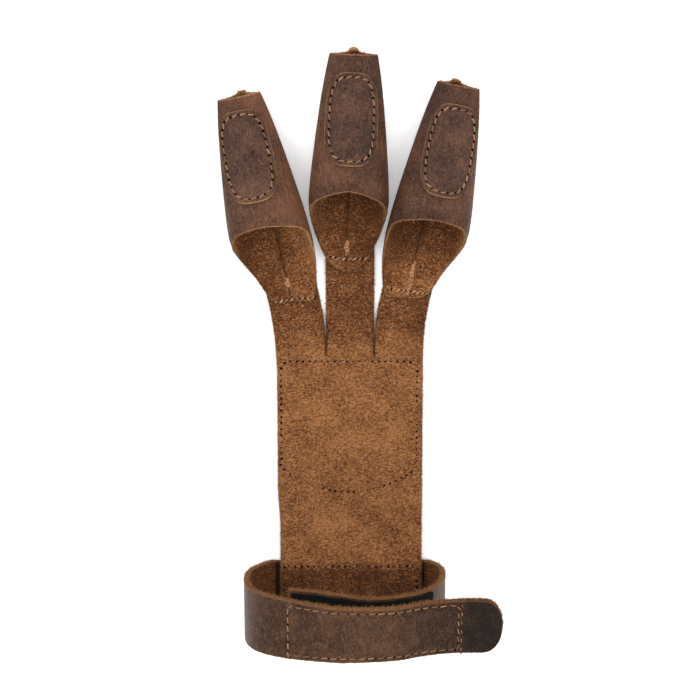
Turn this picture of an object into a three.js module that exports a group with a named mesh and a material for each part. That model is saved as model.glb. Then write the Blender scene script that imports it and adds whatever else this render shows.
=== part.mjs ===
// Archery glove for three fingers, lying on its back.
// Lengths are in millimetres and angles in degrees. X runs across the hand, Y runs
// towards the fingertips and Z up. The origin is the middle of the underside of the
// back patch, which rests on the table.
import * as THREE from 'three';

// Clearance between neighbouring pieces, and a little more under a curved pad.
const GAP = 0.3;
const PAD_GAP = 0.4;

// Hand panel: one piece of suede cut as a trident. PANEL_DIP is the height that it
// hangs down to between the strap and the patch, PANEL_SLOPE the length of each bend
// and STRAP_SHOWING the strap's edge that is left bare at the panel's lower end.
const PANEL_WIDTH = 58;
const PANEL_THICKNESS = 1.8;
const SLIT_ROOT = 30;
const MIDDLE_STRIP_WIDTH = 19;
const MIDDLE_STRIP_LENGTH = 47.2;
const STRIP_LEAN = 11.8;
const STRIP_BEND = 20;
const PANEL_DIP = 1.1;
const PANEL_SLOPE = 11;
const STRAP_SHOWING = 0.5;

// Back patch: a shield sewn on the hidden face of the panel.
const PATCH_LENGTH = 58;
const PATCH_THICKNESS = 1.6;
const PATCH_ARC_DROP = 11.8;
const PATCH_INSET = 0.4;
const PATCH_CORNER = 4;
const PATCH_ARC_REACH = 0.6;

// Finger stalls: rolled leather tubes, each with a seam fin along its hidden back
// and a tongue sewn on the end of its strip. BACK_DESCENT is the share of the length
// where the back starts to come down from the fin's height onto the strip.
const STALL_THICKNESS = 1.6;
const STALL_HEIGHT = 20.6;
const TONGUE_LAP = 13.5;
const FIN_HEIGHT = 3.2;
const FIN_WIDTH = 4;
const FIN_KNOB = 2.4;
const FIN_CLEARANCE = 1;
const FIN_SLOPE = 0.8;
const FIN_TAPER = 0.8;
const BACK_DESCENT = 0.3;

// Pads sewn on the fronts of the stalls. PAD_ROUNDNESS is 2 for an ellipse, and more
// for squarer ends.
const PAD_LENGTH = 35;
const PAD_WIDTH = 20;
const PAD_THICKNESS = 1.4;
const LEFT_PAD_FROM_TIP = 5;
const MIDDLE_PAD_FROM_TIP = 6.7;
const RIGHT_PAD_FROM_TIP = 7;
const PAD_TAPER = 0.05;
const PAD_ROUNDNESS = 3.2;

// Wrist strap with its hook and loop tapes. It lies flat under the panel and a
// little way past the panel's edges before it turns up.
const STRAP_WIDTH = 25;
const STRAP_THICKNESS = 2;
const WRIST_DISTANCE = 70;
const FLAT_PAST_PANEL = 2.2;
const RING_HEIGHT = 44;
const BULGE_LEFT = 12.5;
const BULGE_RIGHT = 8.2;
const TAIL_LENGTH = 32;
const TAIL_DROP = 3;
const TAIL_TILT = 14;
const LAP_LIFT = 10;
const TAIL_ROUNDING = 8.5;
const TAIL_ROUNDNESS = 2.4;
const TAPE_THICKNESS = 1.5;
const TAPE_WIDTH = 22.4;
const HOOK_LENGTH = 70;
const HOOK_FROM_END = 17.5;
const LOOP_LENGTH = 58;
const LOOP_FROM_END = 1.5;

// The side strips: their outer edges bend outwards over a length that starts this
// far below the slit's root, and run on to a square end.
const LEFT_STRIP_EARLY = 10;
const LEFT_STRIP_LENGTH = 43.8;
const RIGHT_STRIP_EARLY = 1;
const RIGHT_STRIP_LENGTH = 36.4;
const SIDE_STRIPS = [
  { side: -1, early: LEFT_STRIP_EARLY, length: LEFT_STRIP_LENGTH },
  { side: 1, early: RIGHT_STRIP_EARLY, length: RIGHT_STRIP_LENGTH },
];

// Each stall's length from its tip to the tongue's end, its width at both ends, and
// how far it stands outwards of its strip's middle.
const LEFT_STALL_LENGTH = 84;
const LEFT_TIP_WIDTH = 18.5;
const LEFT_MOUTH_WIDTH = 32.2;
const LEFT_SHIFT = 2.8;
const MIDDLE_STALL_LENGTH = 86;
const MIDDLE_TIP_WIDTH = 20.7;
const MIDDLE_MOUTH_WIDTH = 31.6;
const MIDDLE_SHIFT = -1.6;
const RIGHT_STALL_LENGTH = 86.5;
const RIGHT_TIP_WIDTH = 18.1;
const RIGHT_MOUTH_WIDTH = 32.2;
const RIGHT_SHIFT = 2.4;

// One entry for each finger. side is -1 left and 1 right, lean is the tube's slant,
// and twist turns the front pad outwards.
const FINGERS = [
  {
    name: 'left',
    side: -1,
    length: LEFT_STALL_LENGTH,
    tip: LEFT_TIP_WIDTH,
    mouth: LEFT_MOUTH_WIDTH,
    shift: LEFT_SHIFT,
    padFromTip: LEFT_PAD_FROM_TIP,
    lean: -12.3,
    twist: -7.5,
  },
  {
    name: 'middle',
    side: 0,
    length: MIDDLE_STALL_LENGTH,
    tip: MIDDLE_TIP_WIDTH,
    mouth: MIDDLE_MOUTH_WIDTH,
    shift: MIDDLE_SHIFT,
    padFromTip: MIDDLE_PAD_FROM_TIP,
    lean: 2,
    twist: 0,
  },
  {
    name: 'right',
    side: 1,
    length: RIGHT_STALL_LENGTH,
    tip: RIGHT_TIP_WIDTH,
    mouth: RIGHT_MOUTH_WIDTH,
    shift: RIGHT_SHIFT,
    padFromTip: RIGHT_PAD_FROM_TIP,
    lean: 11.6,
    twist: 7.5,
  },
];

// Sections of a stall from its tip to the tongue's end: along is a share of the
// length, width runs from the tip's width at 0 to the mouth's at 1, height is a
// share of the stall's height, and crease is 1 for an ellipse and 2 for a lens.
const STALL_SECTIONS = [
  { along: 0, width: 0, height: 0.29, crease: 1.9 },
  { along: 0.13, width: 0.27, height: 0.41, crease: 1.75 },
  { along: 0.27, width: 0.5, height: 0.55, crease: 1.5 },
  { along: 0.42, width: 0.72, height: 0.76, crease: 1.25 },
  { along: 0.58, width: 0.92, height: 0.98, crease: 1.02 },
  { along: 0.7, width: 1, height: 1, crease: 1 },
  { along: 0.8, width: 1.04, height: 0.86, crease: 1 },
  { along: 0.88, width: 1.06, height: 0.5, crease: 1 },
  { along: 1, width: 1.08, height: 0.1, crease: 1 },
];

// The mouth's oblique edge: turn is the angle from the middle of the front, and the
// other columns are shares of the stall's length on both sides of the middle stall
// and on the inner and the outer side of the other two.
const MOUTH_EDGE = [
  { turn: 0, middle: 0.595, inner: 0.59, outer: 0.59 },
  { turn: 45, middle: 0.635, inner: 0.618, outer: 0.613 },
  { turn: 80, middle: 0.685, inner: 0.66, outer: 0.675 },
  { turn: 100, middle: 0.72, inner: 0.75, outer: 0.72 },
  { turn: 120, middle: 0.8, inner: 0.845, outer: 0.79 },
  { turn: 135, middle: 0.875, inner: 0.915, outer: 0.855 },
  { turn: 150, middle: 0.945, inner: 0.982, outer: 0.95 },
  { turn: 165, middle: 0.985, inner: 0.998, outer: 0.99 },
  { turn: 180, middle: 1, inner: 1, outer: 1 },
];

// The strap's route from its inner end up to the panel, seen along Y. edge is a
// share of the panel's half width, bulge a share of the ring's overhang beside the
// panel and up a share of the ring's height.
const INNER_ROUTE = [
  { edge: -0.83, bulge: 0, up: 0.784 },
  { edge: -0.5, bulge: 0, up: 0.83 },
  { edge: -0.14, bulge: 0, up: 0.92 },
  { edge: 0.275, bulge: 0, up: 1 },
  { edge: 0.655, bulge: 0, up: 0.93 },
  { edge: 0.965, bulge: 0, up: 0.8 },
  { edge: 1, bulge: 0.63, up: 0.61 },
  { edge: 1, bulge: 1, up: 0.41 },
  { edge: 1, bulge: 0.95, up: 0.2 },
  { edge: 1, bulge: 0.62, up: 0.068 },
];
const LEFT_ROUTE = [
  { edge: -1, bulge: 0.46, up: 0.08 },
  { edge: -1, bulge: 0.85, up: 0.24 },
  { edge: -1, bulge: 1, up: 0.45 },
  { edge: -1, bulge: 0.86, up: 0.71 },
  { edge: -1, bulge: 0.44, up: 0.89 },
];
// How far the outer layer stands off the tapes above each of the first six rows of
// the inner route, as a share of the ring's height.
const LAP_OPENINGS = [0.105, 0.125, 0.09, 0.01, 0.05, 0.095];
// The free tail: along and drop are shares of its length and its drop.
const TAIL_ROUTE = [
  { along: 0.25, drop: 0.63 },
  { along: 0.5, drop: 0.96 },
  { along: 0.75, drop: 1 },
  { along: 1, drop: 0.9 },
];

const STALL_STATIONS = 13;
const STALL_SIDES = 26;
const STRAP_STATIONS = 84;
const TAPE_STATIONS = 26;
const PAD_SIDES = 28;
const STRIP_COLUMNS = 4;
const STRIP_ROWS = 7;

const HALF_PANEL = PANEL_WIDTH / 2;
const HALF_MIDDLE = MIDDLE_STRIP_WIDTH / 2;
const radians = THREE.MathUtils.degToRad;
const mix = THREE.MathUtils.lerp;
const smooth = THREE.MathUtils.smoothstep;

// Reads one column of a table at a place along it, on a smooth curve that stays
// between its rows.
function readTable(rows, placeColumn, valueColumn, place) {
  let row = 0;
  while (row < rows.length - 2 && place > rows[row + 1][placeColumn]) row += 1;
  const slopeAt = (index) => {
    if (index <= 0 || index >= rows.length - 1) return null;
    const before = rows[index][placeColumn] - rows[index - 1][placeColumn];
    const after = rows[index + 1][placeColumn] - rows[index][placeColumn];
    const slopeBefore = (rows[index][valueColumn] - rows[index - 1][valueColumn]) / before;
    const slopeAfter = (rows[index + 1][valueColumn] - rows[index][valueColumn]) / after;
    if (slopeBefore * slopeAfter <= 0) return 0;
    return 2 * slopeBefore * slopeAfter / (slopeBefore + slopeAfter);
  };
  const start = rows[row];
  const end = rows[row + 1];
  const step = end[placeColumn] - start[placeColumn];
  const chord = (end[valueColumn] - start[valueColumn]) / step;
  const slopeStart = slopeAt(row) ?? chord;
  const slopeEnd = slopeAt(row + 1) ?? chord;
  const t = THREE.MathUtils.clamp((place - start[placeColumn]) / step, 0, 1);
  const straight = mix(start[valueColumn], end[valueColumn], t);
  const bendStart = (slopeStart - chord) * step * t * (1 - t) * (1 - t);
  const bendEnd = (slopeEnd - chord) * step * t * t * (1 - t);
  return straight + bendStart - bendEnd;
}

// A named mesh from points and triangles.
function solid(name, points, triangles, finish) {
  const geometry = new THREE.BufferGeometry();
  const flat = points.flatMap((point) => [point.x, point.y, point.z]);
  geometry.setAttribute('position', new THREE.Float32BufferAttribute(flat, 3));
  geometry.setIndex(triangles.flat());
  geometry.computeVertexNormals();
  const mesh = new THREE.Mesh(geometry, finish);
  mesh.name = name;
  return mesh;
}

function matt(color, roughness) {
  return new THREE.MeshStandardMaterial({ color, roughness, metalness: 0 });
}

// A sheet of leather: quads of outline points seen from above, anticlockwise,
// given a thickness upwards from the height that undersideAt returns.
function sheet(name, outline, quads, undersideAt, thickness, finish) {
  const count = outline.length;
  const low = outline.map((point) => new THREE.Vector3(point.x, point.y, undersideAt(point)));
  const high = low.map((point) => new THREE.Vector3(point.x, point.y, point.z + thickness));
  const triangles = [];
  const edges = new Map();
  for (const quad of quads) {
    const [a, b, c, d] = quad;
    triangles.push([a + count, b + count, c + count], [a + count, c + count, d + count]);
    triangles.push([a, c, b], [a, d, c]);
    quad.forEach((from, index) => {
      const to = quad[(index + 1) % 4];
      edges.set(`${from},${to}`, [from, to]);
    });
  }
  for (const [from, to] of edges.values()) {
    if (edges.has(`${to},${from}`)) continue;
    triangles.push([from, to, to + count], [from, to + count, from + count]);
  }
  return solid(name, [...low, ...high], triangles, finish);
}

// Triangles between neighbouring rings of points, facing outwards or, for a bore,
// inwards. offset is the number of the first ring's first point.
function ringsToTriangles(ringCount, sides, offset, inward) {
  const triangles = [];
  for (let ring = 0; ring < ringCount - 1; ring += 1) {
    for (let side = 0; side < sides; side += 1) {
      const next = (side + 1) % sides;
      const a = offset + ring * sides + side;
      const b = offset + ring * sides + next;
      const c = offset + (ring + 1) * sides + next;
      const d = offset + (ring + 1) * sides + side;
      if (inward) triangles.push([a, b, c], [a, c, d]);
      else triangles.push([a, c, b], [a, d, c]);
    }
  }
  return triangles;
}

// A point on a side strip's edge, at a distance from where the edge starts to bend
// outwards over a length of bend. Past the bend it runs on straight.
function bentEdge(start, side, bend, distance) {
  const lean = radians(STRIP_LEAN);
  const radius = bend / lean;
  const turned = Math.min(distance / bend, 1) * lean;
  const rest = Math.max(distance - bend, 0);
  return new THREE.Vector2(
    start.x + side * (radius * (1 - Math.cos(turned)) + rest * Math.sin(turned)),
    start.y + radius * Math.sin(turned) + rest * Math.cos(turned),
  );
}

// The outer and inner edge of a side strip. The outer edge runs from the start of
// its bend and the inner one from the slit's root, both to the strip's square end.
function sideStripEdges(side) {
  const { early, length } = SIDE_STRIPS.find((row) => row.side === side);
  const outerStart = new THREE.Vector2(side * HALF_PANEL, SLIT_ROOT - early);
  const innerStart = new THREE.Vector2(side * HALF_MIDDLE, SLIT_ROOT);
  const outerBend = STRIP_BEND + early;
  const lean = radians(STRIP_LEAN);
  const heading = new THREE.Vector2(side * Math.sin(lean), Math.cos(lean));
  const outerEnd = bentEdge(outerStart, side, outerBend, length);
  const innerBendEnd = bentEdge(innerStart, side, STRIP_BEND, STRIP_BEND);
  const innerLength = STRIP_BEND + outerEnd.clone().sub(innerBendEnd).dot(heading);
  return {
    outer: (distance) => bentEdge(outerStart, side, outerBend, distance),
    inner: (distance) => bentEdge(innerStart, side, STRIP_BEND, distance),
    early,
    length,
    innerLength,
    heading,
  };
}

// Both edges of one strip at a share of the way from the slit's root to its end.
function stripEdges(side, share) {
  if (side === 0) {
    const y = SLIT_ROOT + MIDDLE_STRIP_LENGTH * share;
    return [new THREE.Vector2(-HALF_MIDDLE, y), new THREE.Vector2(HALF_MIDDLE, y)];
  }
  const edges = sideStripEdges(side);
  const outer = edges.outer(mix(edges.early, edges.length, share));
  const inner = edges.inner(edges.innerLength * share);
  return side < 0 ? [outer, inner] : [inner, outer];
}

// The middle of a strip's end and the direction that the strip runs in.
function stripEnd(side) {
  const [left, right] = stripEdges(side, 1);
  const middle = left.clone().add(right).multiplyScalar(0.5);
  const heading = side === 0 ? new THREE.Vector2(0, 1) : sideStripEdges(side).heading;
  return { middle, heading };
}

// Height of the panel's underside: over the strap, down between, over the patch and
// down to the table under the strips.
function panelUnderside(point) {
  const strapEdge = -WRIST_DISTANCE + STRAP_WIDTH / 2;
  const overStrap = STRAP_THICKNESS + GAP;
  const overPatch = PATCH_THICKNESS + GAP;
  const patchEnd = PATCH_LENGTH / 2;
  if (point.y < -patchEnd) {
    const fromStrap = smooth(point.y, strapEdge + GAP, strapEdge + PANEL_SLOPE);
    const toPatch = smooth(point.y, -patchEnd - PANEL_SLOPE, -patchEnd - GAP);
    return mix(mix(overStrap, PANEL_DIP, fromStrap), overPatch, toPatch);
  }
  return overPatch * (1 - smooth(point.y, patchEnd + GAP, patchEnd + 1.5 * PANEL_SLOPE));
}

function handPanel() {
  const panelEnd = -WRIST_DISTANCE - STRAP_WIDTH / 2 + STRAP_SHOWING;
  const points = [];
  const quads = [];
  const columns = 3 * STRIP_COLUMNS;
  const columnAt = (left, right, column) => {
    const strip = Math.min(Math.floor(column / STRIP_COLUMNS), 2);
    const share = column / STRIP_COLUMNS - strip;
    const limits = [left, -HALF_MIDDLE, HALF_MIDDLE, right];
    return mix(limits[strip], limits[strip + 1], share);
  };
  // Rows from the wrist to the slits' roots, closer together where the panel bends.
  const strapEdge = -WRIST_DISTANCE + STRAP_WIDTH / 2;
  const patchEnd = PATCH_LENGTH / 2;
  const rows = [panelEnd, strapEdge - 2, strapEdge + GAP];
  for (let step = 1; step <= 3; step += 1) rows.push(mix(strapEdge + GAP, -patchEnd - GAP, step / 4));
  const bendStart = SLIT_ROOT - Math.max(...SIDE_STRIPS.map((row) => row.early));
  rows.push(-patchEnd - GAP, -patchEnd / 2, 0);
  for (const share of [0, 0.5, 1]) rows.push(mix(bendStart, SLIT_ROOT, share));
  const outerEdge = (side, y) => {
    const edges = sideStripEdges(side);
    const past = y - SLIT_ROOT + edges.early;
    return past > 0 ? edges.outer(past) : new THREE.Vector2(side * HALF_PANEL, y);
  };
  const rowPoint = (y, column) => {
    const left = outerEdge(-1, y);
    const right = outerEdge(1, y);
    const outer = column < columns / 2 ? left.y : right.y;
    const outerShare = Math.max(Math.abs(column - columns / 2) / STRIP_COLUMNS - 0.5, 0);
    return new THREE.Vector2(columnAt(left.x, right.x, column), mix(y, outer, outerShare));
  };
  for (const y of rows) {
    for (let column = 0; column <= columns; column += 1) points.push(rowPoint(y, column));
  }
  for (let row = 0; row < rows.length - 1; row += 1) {
    for (let column = 0; column < columns; column += 1) {
      const a = row * (columns + 1) + column;
      quads.push([a, a + 1, a + columns + 2, a + columns + 1]);
    }
  }
  // The three strips, each joined to the body along its root.
  for (const side of [-1, 0, 1]) {
    const firstColumn = (side + 1) * STRIP_COLUMNS;
    const rootRow = (rows.length - 1) * (columns + 1) + firstColumn;
    let below = Array.from({ length: STRIP_COLUMNS + 1 }, (unused, column) => rootRow + column);
    for (let row = 1; row <= STRIP_ROWS; row += 1) {
      const [left, right] = stripEdges(side, row / STRIP_ROWS);
      const above = below.map((unused, column) => {
        points.push(left.clone().lerp(right, column / STRIP_COLUMNS));
        return points.length - 1;
      });
      for (let column = 0; column < STRIP_COLUMNS; column += 1) {
        quads.push([below[column], below[column + 1], above[column + 1], above[column]]);
      }
      below = above;
    }
  }
  return sheet('hand_panel', points, quads, panelUnderside, PANEL_THICKNESS, matt('#9a5a30', 0.95));
}

// The shield: straight sides, a top with rounded corners and a bottom arc.
function backPatch() {
  const half = HALF_PANEL - PATCH_INSET;
  const arcRise = (reach) => 1 - Math.sqrt(1 - reach * reach);
  const columns = 14;
  const rows = 10;
  const points = [];
  const quads = [];
  for (let row = 0; row <= rows; row += 1) {
    for (let column = 0; column <= columns; column += 1) {
      const across = 2 * column / columns - 1;
      const x = half * Math.sin(across * Math.PI / 2);
      const fromCorner = Math.max(Math.abs(x) - half + PATCH_CORNER, 0) / PATCH_CORNER;
      const top = PATCH_LENGTH / 2 - PATCH_CORNER * arcRise(fromCorner);
      const rise = arcRise(PATCH_ARC_REACH * x / half) / arcRise(PATCH_ARC_REACH);
      const bottom = -PATCH_LENGTH / 2 + PATCH_ARC_DROP * rise;
      points.push(new THREE.Vector2(x, mix(bottom, top, row / rows)));
      if (row === rows || column === columns) continue;
      const a = row * (columns + 1) + column;
      quads.push([a, a + 1, a + columns + 2, a + columns + 1]);
    }
  }
  return sheet('back_patch', points, quads, () => 0, PATCH_THICKNESS, matt('#55382a', 0.6));
}

// Where a stall lies: its tip, its direction and the place of its seam fin's end.
function stallFrame(finger) {
  const end = stripEnd(finger.side);
  const outwards = finger.side === 0 ? 1 : finger.side;
  const across = new THREE.Vector2(end.heading.y, -end.heading.x).multiplyScalar(outwards);
  const lean = radians(finger.lean);
  const heading = new THREE.Vector2(Math.sin(lean), Math.cos(lean));
  const tongueEnd = end.middle.clone()
    .addScaledVector(end.heading, -TONGUE_LAP)
    .addScaledVector(across, finger.shift);
  return {
    tip: tongueEnd.clone().addScaledVector(heading, finger.length),
    heading,
    across: new THREE.Vector2(heading.y, -heading.x),
    finEnd: finger.length - TONGUE_LAP - FIN_CLEARANCE,
  };
}

// A stall's section at a distance from its tip.
function stallSection(finger, distance) {
  const share = Math.max(distance / finger.length, 0);
  const read = (column) => readTable(STALL_SECTIONS, 'along', column, share);
  const onStrip = PANEL_THICKNESS + GAP;
  const back = mix(FIN_HEIGHT, onStrip, smooth(share, BACK_DESCENT, 1 - TONGUE_LAP / finger.length));
  return {
    halfWidth: mix(finger.tip, finger.mouth, read('width')) / 2,
    halfHeight: STALL_HEIGHT * read('height') / 2,
    crease: read('crease'),
    back,
  };
}

// A point on a stall at an angle from the top of its section. depth goes into the
// leather from its outer face.
function stallPoint(finger, distance, angle, depth) {
  const { halfWidth, halfHeight, crease, back } = stallSection(finger, distance);
  const corner = Math.atan2(2 * halfHeight, halfWidth);
  const sideDepth = depth * (1 + (crease - 1) * (1 / Math.sin(corner) - 1));
  const cosine = Math.cos(angle);
  const rise = Math.sign(cosine) * Math.abs(cosine) ** crease;
  return localPoint(finger, distance, (halfWidth - sideDepth) * Math.sin(angle),
    back + halfHeight + (halfHeight - depth) * rise);
}

function localPoint(finger, distance, across, z) {
  const frame = stallFrame(finger);
  const plan = frame.tip.clone()
    .addScaledVector(frame.heading, -distance)
    .addScaledVector(frame.across, across);
  return new THREE.Vector3(plan.x, plan.y, z);
}

// Distance from the tip of the mouth's edge, at an angle from the front's middle.
function mouthEdge(finger, angle) {
  const turn = THREE.MathUtils.euclideanModulo(THREE.MathUtils.radToDeg(angle) + 180, 360) - 180;
  const side = Math.sign(turn) * finger.side;
  const column = ['inner', 'middle', 'outer'][side + 1];
  return readTable(MOUTH_EDGE, 'turn', column, Math.abs(turn)) * finger.length;
}

// The tube of a stall. Each ring starts at one foot of the seam fin, goes round the
// tube to the other foot and back across the fin.
function stall(finger) {
  const twist = radians(finger.twist);
  const frame = stallFrame(finger);
  const finStart = (frame.finEnd - FIN_SLOPE) / finger.length;
  const finStop = frame.finEnd / finger.length;
  const shares = [finStart, finStop];
  for (let station = 0; station < STALL_STATIONS; station += 1) {
    const share = station / (STALL_STATIONS - 1);
    if (Math.abs(share - finStop) > 0.4 / STALL_STATIONS) shares.push(share);
  }
  shares.sort((a, b) => a - b);
  const outer = [];
  const inner = [];
  for (const share of shares) {
    const seamDistance = share * finger.length;
    const footTurn = Math.asin(FIN_WIDTH / 2 / stallSection(finger, seamDistance).halfWidth);
    const place = (turn) => {
      const knob = Math.PI - Math.abs(turn - Math.PI) < footTurn * 1.01 ? -FIN_KNOB : 0;
      return mix(knob, mouthEdge(finger, turn - Math.PI), share);
    };
    for (let side = 0; side < STALL_SIDES; side += 1) {
      const turn = mix(footTurn, 2 * Math.PI - footTurn, side / (STALL_SIDES - 1));
      const distance = place(turn);
      outer.push(stallPoint(finger, distance, turn + Math.PI + twist, 0));
      inner.push(stallPoint(finger, distance, turn + Math.PI + twist, STALL_THICKNESS));
    }
    for (const across of [-FIN_TAPER, FIN_TAPER]) {
      const turn = 2 * Math.PI + footTurn * across;
      const foot = stallPoint(finger, place(turn), turn + Math.PI + twist, 0);
      if (share < finStop) foot.z = 0;
      outer.push(foot);
      inner.push(stallPoint(finger, place(turn), turn + Math.PI + twist, STALL_THICKNESS));
    }
  }
  const sides = STALL_SIDES + 2;
  const innerStart = outer.length;
  const triangles = [
    ...ringsToTriangles(shares.length, sides, 0, false),
    ...ringsToTriangles(shares.length, sides, innerStart, true),
  ];
  for (let side = 0; side < sides; side += 1) {
    const next = (side + 1) % sides;
    const last = (shares.length - 1) * sides;
    triangles.push([side, next, innerStart + next], [side, innerStart + next, innerStart + side]);
    triangles.push([last + side, innerStart + last + next, last + next]);
    triangles.push([last + side, innerStart + last + side, innerStart + last + next]);
  }
  return solid(`stall_${finger.name}`, [...outer, ...inner], triangles, matt('#5b3d2e', 0.55));
}

// The angle at which an arc of the given length, measured round the section from
// the middle of the front, ends.
function angleAtArc(finger, distance, arc) {
  const step = radians(1.5) * Math.sign(arc);
  let angle = radians(finger.twist);
  let from = stallPoint(finger, distance, angle, 0);
  let left = Math.abs(arc);
  while (left > 0) {
    const to = stallPoint(finger, distance, angle + step, 0);
    const length = from.distanceTo(to);
    if (length >= left) return angle + step * left / length;
    angle += step;
    left -= length;
    from = to;
  }
  return angle;
}

// A pad: a rounded rectangle bent over the front of its stall.
function pad(finger) {
  const middle = finger.padFromTip + PAD_LENGTH / 2;
  const skin = (along, arc, lift) => {
    const distance = middle + along;
    const angle = angleAtArc(finger, distance, arc);
    const small = 0.02;
    const at = stallPoint(finger, distance, angle, 0);
    const before = stallPoint(finger, distance, angle - small, 0);
    const round = stallPoint(finger, distance, angle + small, 0).sub(before);
    const down = stallPoint(finger, distance + small, angle, 0).sub(at);
    return at.addScaledVector(down.cross(round).normalize(), lift);
  };
  const rings = [0.35, 0.7, 1];
  const outlineAt = (turn) => {
    const power = 2 / PAD_ROUNDNESS;
    const x = Math.sign(Math.cos(turn)) * Math.abs(Math.cos(turn)) ** power;
    const y = Math.sign(Math.sin(turn)) * Math.abs(Math.sin(turn)) ** power;
    return { arc: x * (1 - y * PAD_TAPER) * PAD_WIDTH / 2, along: -y * PAD_LENGTH / 2 };
  };
  const face = (lift) => {
    const points = [skin(0, 0, lift)];
    for (const ring of rings) {
      for (let side = 0; side < PAD_SIDES; side += 1) {
        const { arc, along } = outlineAt(2 * Math.PI * side / PAD_SIDES);
        points.push(skin(along * ring, arc * ring, lift));
      }
    }
    return points;
  };
  const upper = face(PAD_GAP + PAD_THICKNESS);
  const lower = face(PAD_GAP);
  const triangles = [];
  const start = upper.length;
  for (let side = 0; side < PAD_SIDES; side += 1) {
    const next = (side + 1) % PAD_SIDES;
    triangles.push([0, 1 + side, 1 + next], [start, start + 1 + next, start + 1 + side]);
    for (let ring = 0; ring < rings.length - 1; ring += 1) {
      const a = 1 + ring * PAD_SIDES + side;
      const b = 1 + ring * PAD_SIDES + next;
      const c = b + PAD_SIDES;
      const d = a + PAD_SIDES;
      triangles.push([a, d, c], [a, c, b]);
      triangles.push([start + a, start + c, start + d], [start + a, start + b, start + c]);
    }
    const rim = 1 + (rings.length - 1) * PAD_SIDES;
    triangles.push([rim + side, start + rim + side, start + rim + next]);
    triangles.push([rim + side, start + rim + next, rim + next]);
  }
  return solid(`pad_${finger.name}`, [...upper, ...lower], triangles, matt('#452e25', 0.5));
}

// The middle line of the strap's leather, seen along Y, as a smooth curve.
function strapCurve() {
  const lap = STRAP_THICKNESS + 2 * TAPE_THICKNESS + 3 * GAP;
  const half = STRAP_THICKNESS / 2;
  const place = (row, bulge) => new THREE.Vector3(
    HALF_PANEL * row.edge + Math.sign(row.edge) * bulge * row.bulge, 0, RING_HEIGHT * row.up,
  );
  const inner = INNER_ROUTE.map((row) => place(row, BULGE_RIGHT));
  const left = LEFT_ROUTE.map((row) => place(row, BULGE_LEFT));
  const flatEnd = HALF_PANEL + FLAT_PAST_PANEL;
  const flat = [1, 0.5, 0, -0.5, -1].map((share) => new THREE.Vector3(flatEnd * share, 0, half));
  const outer = LAP_OPENINGS.map((opening, index) => {
    const point = inner[index].clone();
    point.z += lap + opening * RING_HEIGHT;
    return point;
  });
  const root = outer.at(-1);
  const tail = TAIL_ROUTE.map((row) => new THREE.Vector3(
    root.x + row.along * TAIL_LENGTH, 0, root.z - row.drop * TAIL_DROP,
  ));
  return new THREE.CatmullRomCurve3([...inner, ...flat, ...left, ...outer, ...tail], false, 'centripetal');
}

// Stations spaced evenly between two distances along the strap, with their normals.
function strapStations(curve, from, to, count) {
  const length = curve.getLength();
  return Array.from({ length: count }, (unused, index) => {
    const share = mix(from, to, index / (count - 1)) / length;
    const point = curve.getPointAt(share);
    point.z = Math.max(point.z, STRAP_THICKNESS / 2);
    const tangent = curve.getTangentAt(share);
    const normal = new THREE.Vector3(-tangent.z, 0, tangent.x);
    return { point, normal, distance: share * length, share };
  });
}

// Tilt of the band about its own middle line: none on the left side and the table,
// growing towards the tail.
function tiltAt(point) {
  const reach = 2.35 * HALF_PANEL;
  const across = THREE.MathUtils.clamp((point.x + HALF_PANEL) / reach, 0, 1);
  return radians(TAIL_TILT) * across * across * smooth(point.z, 0.2 * RING_HEIGHT, 0.85 * RING_HEIGHT);
}

// Lift of the lapping layer about its lower edge: its upper edge stands off the layer
// below over the front and comes back at the tail.
function liftAt(point, share) {
  const rise = smooth(point.x, -1.25 * HALF_PANEL, -0.2 * HALF_PANEL);
  const fall = 1 - smooth(point.x, 0.2 * HALF_PANEL, 1.6 * HALF_PANEL);
  const high = smooth(point.z, 0.2 * RING_HEIGHT, 0.85 * RING_HEIGHT);
  return share > 0.5 ? radians(LAP_LIFT) * rise * fall * high : 0;
}

// A band that follows the strap's curve, offset from its middle line.
function band(name, stations, widthAt, offset, thickness, finish) {
  const points = [];
  for (const { point, normal, distance, share } of stations) {
    const lift = liftAt(point, share);
    const tilt = tiltAt(point) + lift;
    const half = widthAt(distance) / 2;
    for (const [across, out] of [[1, 0.5], [-1, 0.5], [-1, -0.5], [1, -0.5]]) {
      const at = point.clone().addScaledVector(normal, offset + out * thickness);
      at.y = -WRIST_DISTANCE + across * half * Math.cos(tilt);
      at.z += across * half * Math.sin(tilt) + STRAP_WIDTH / 2 * Math.sin(lift);
      points.push(at);
    }
  }
  const last = points.length - 4;
  const triangles = ringsToTriangles(stations.length, 4, 0, true);
  triangles.push([0, 2, 1], [0, 3, 2], [last, last + 1, last + 2], [last, last + 2, last + 3]);
  return solid(name, points, triangles, finish);
}

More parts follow.
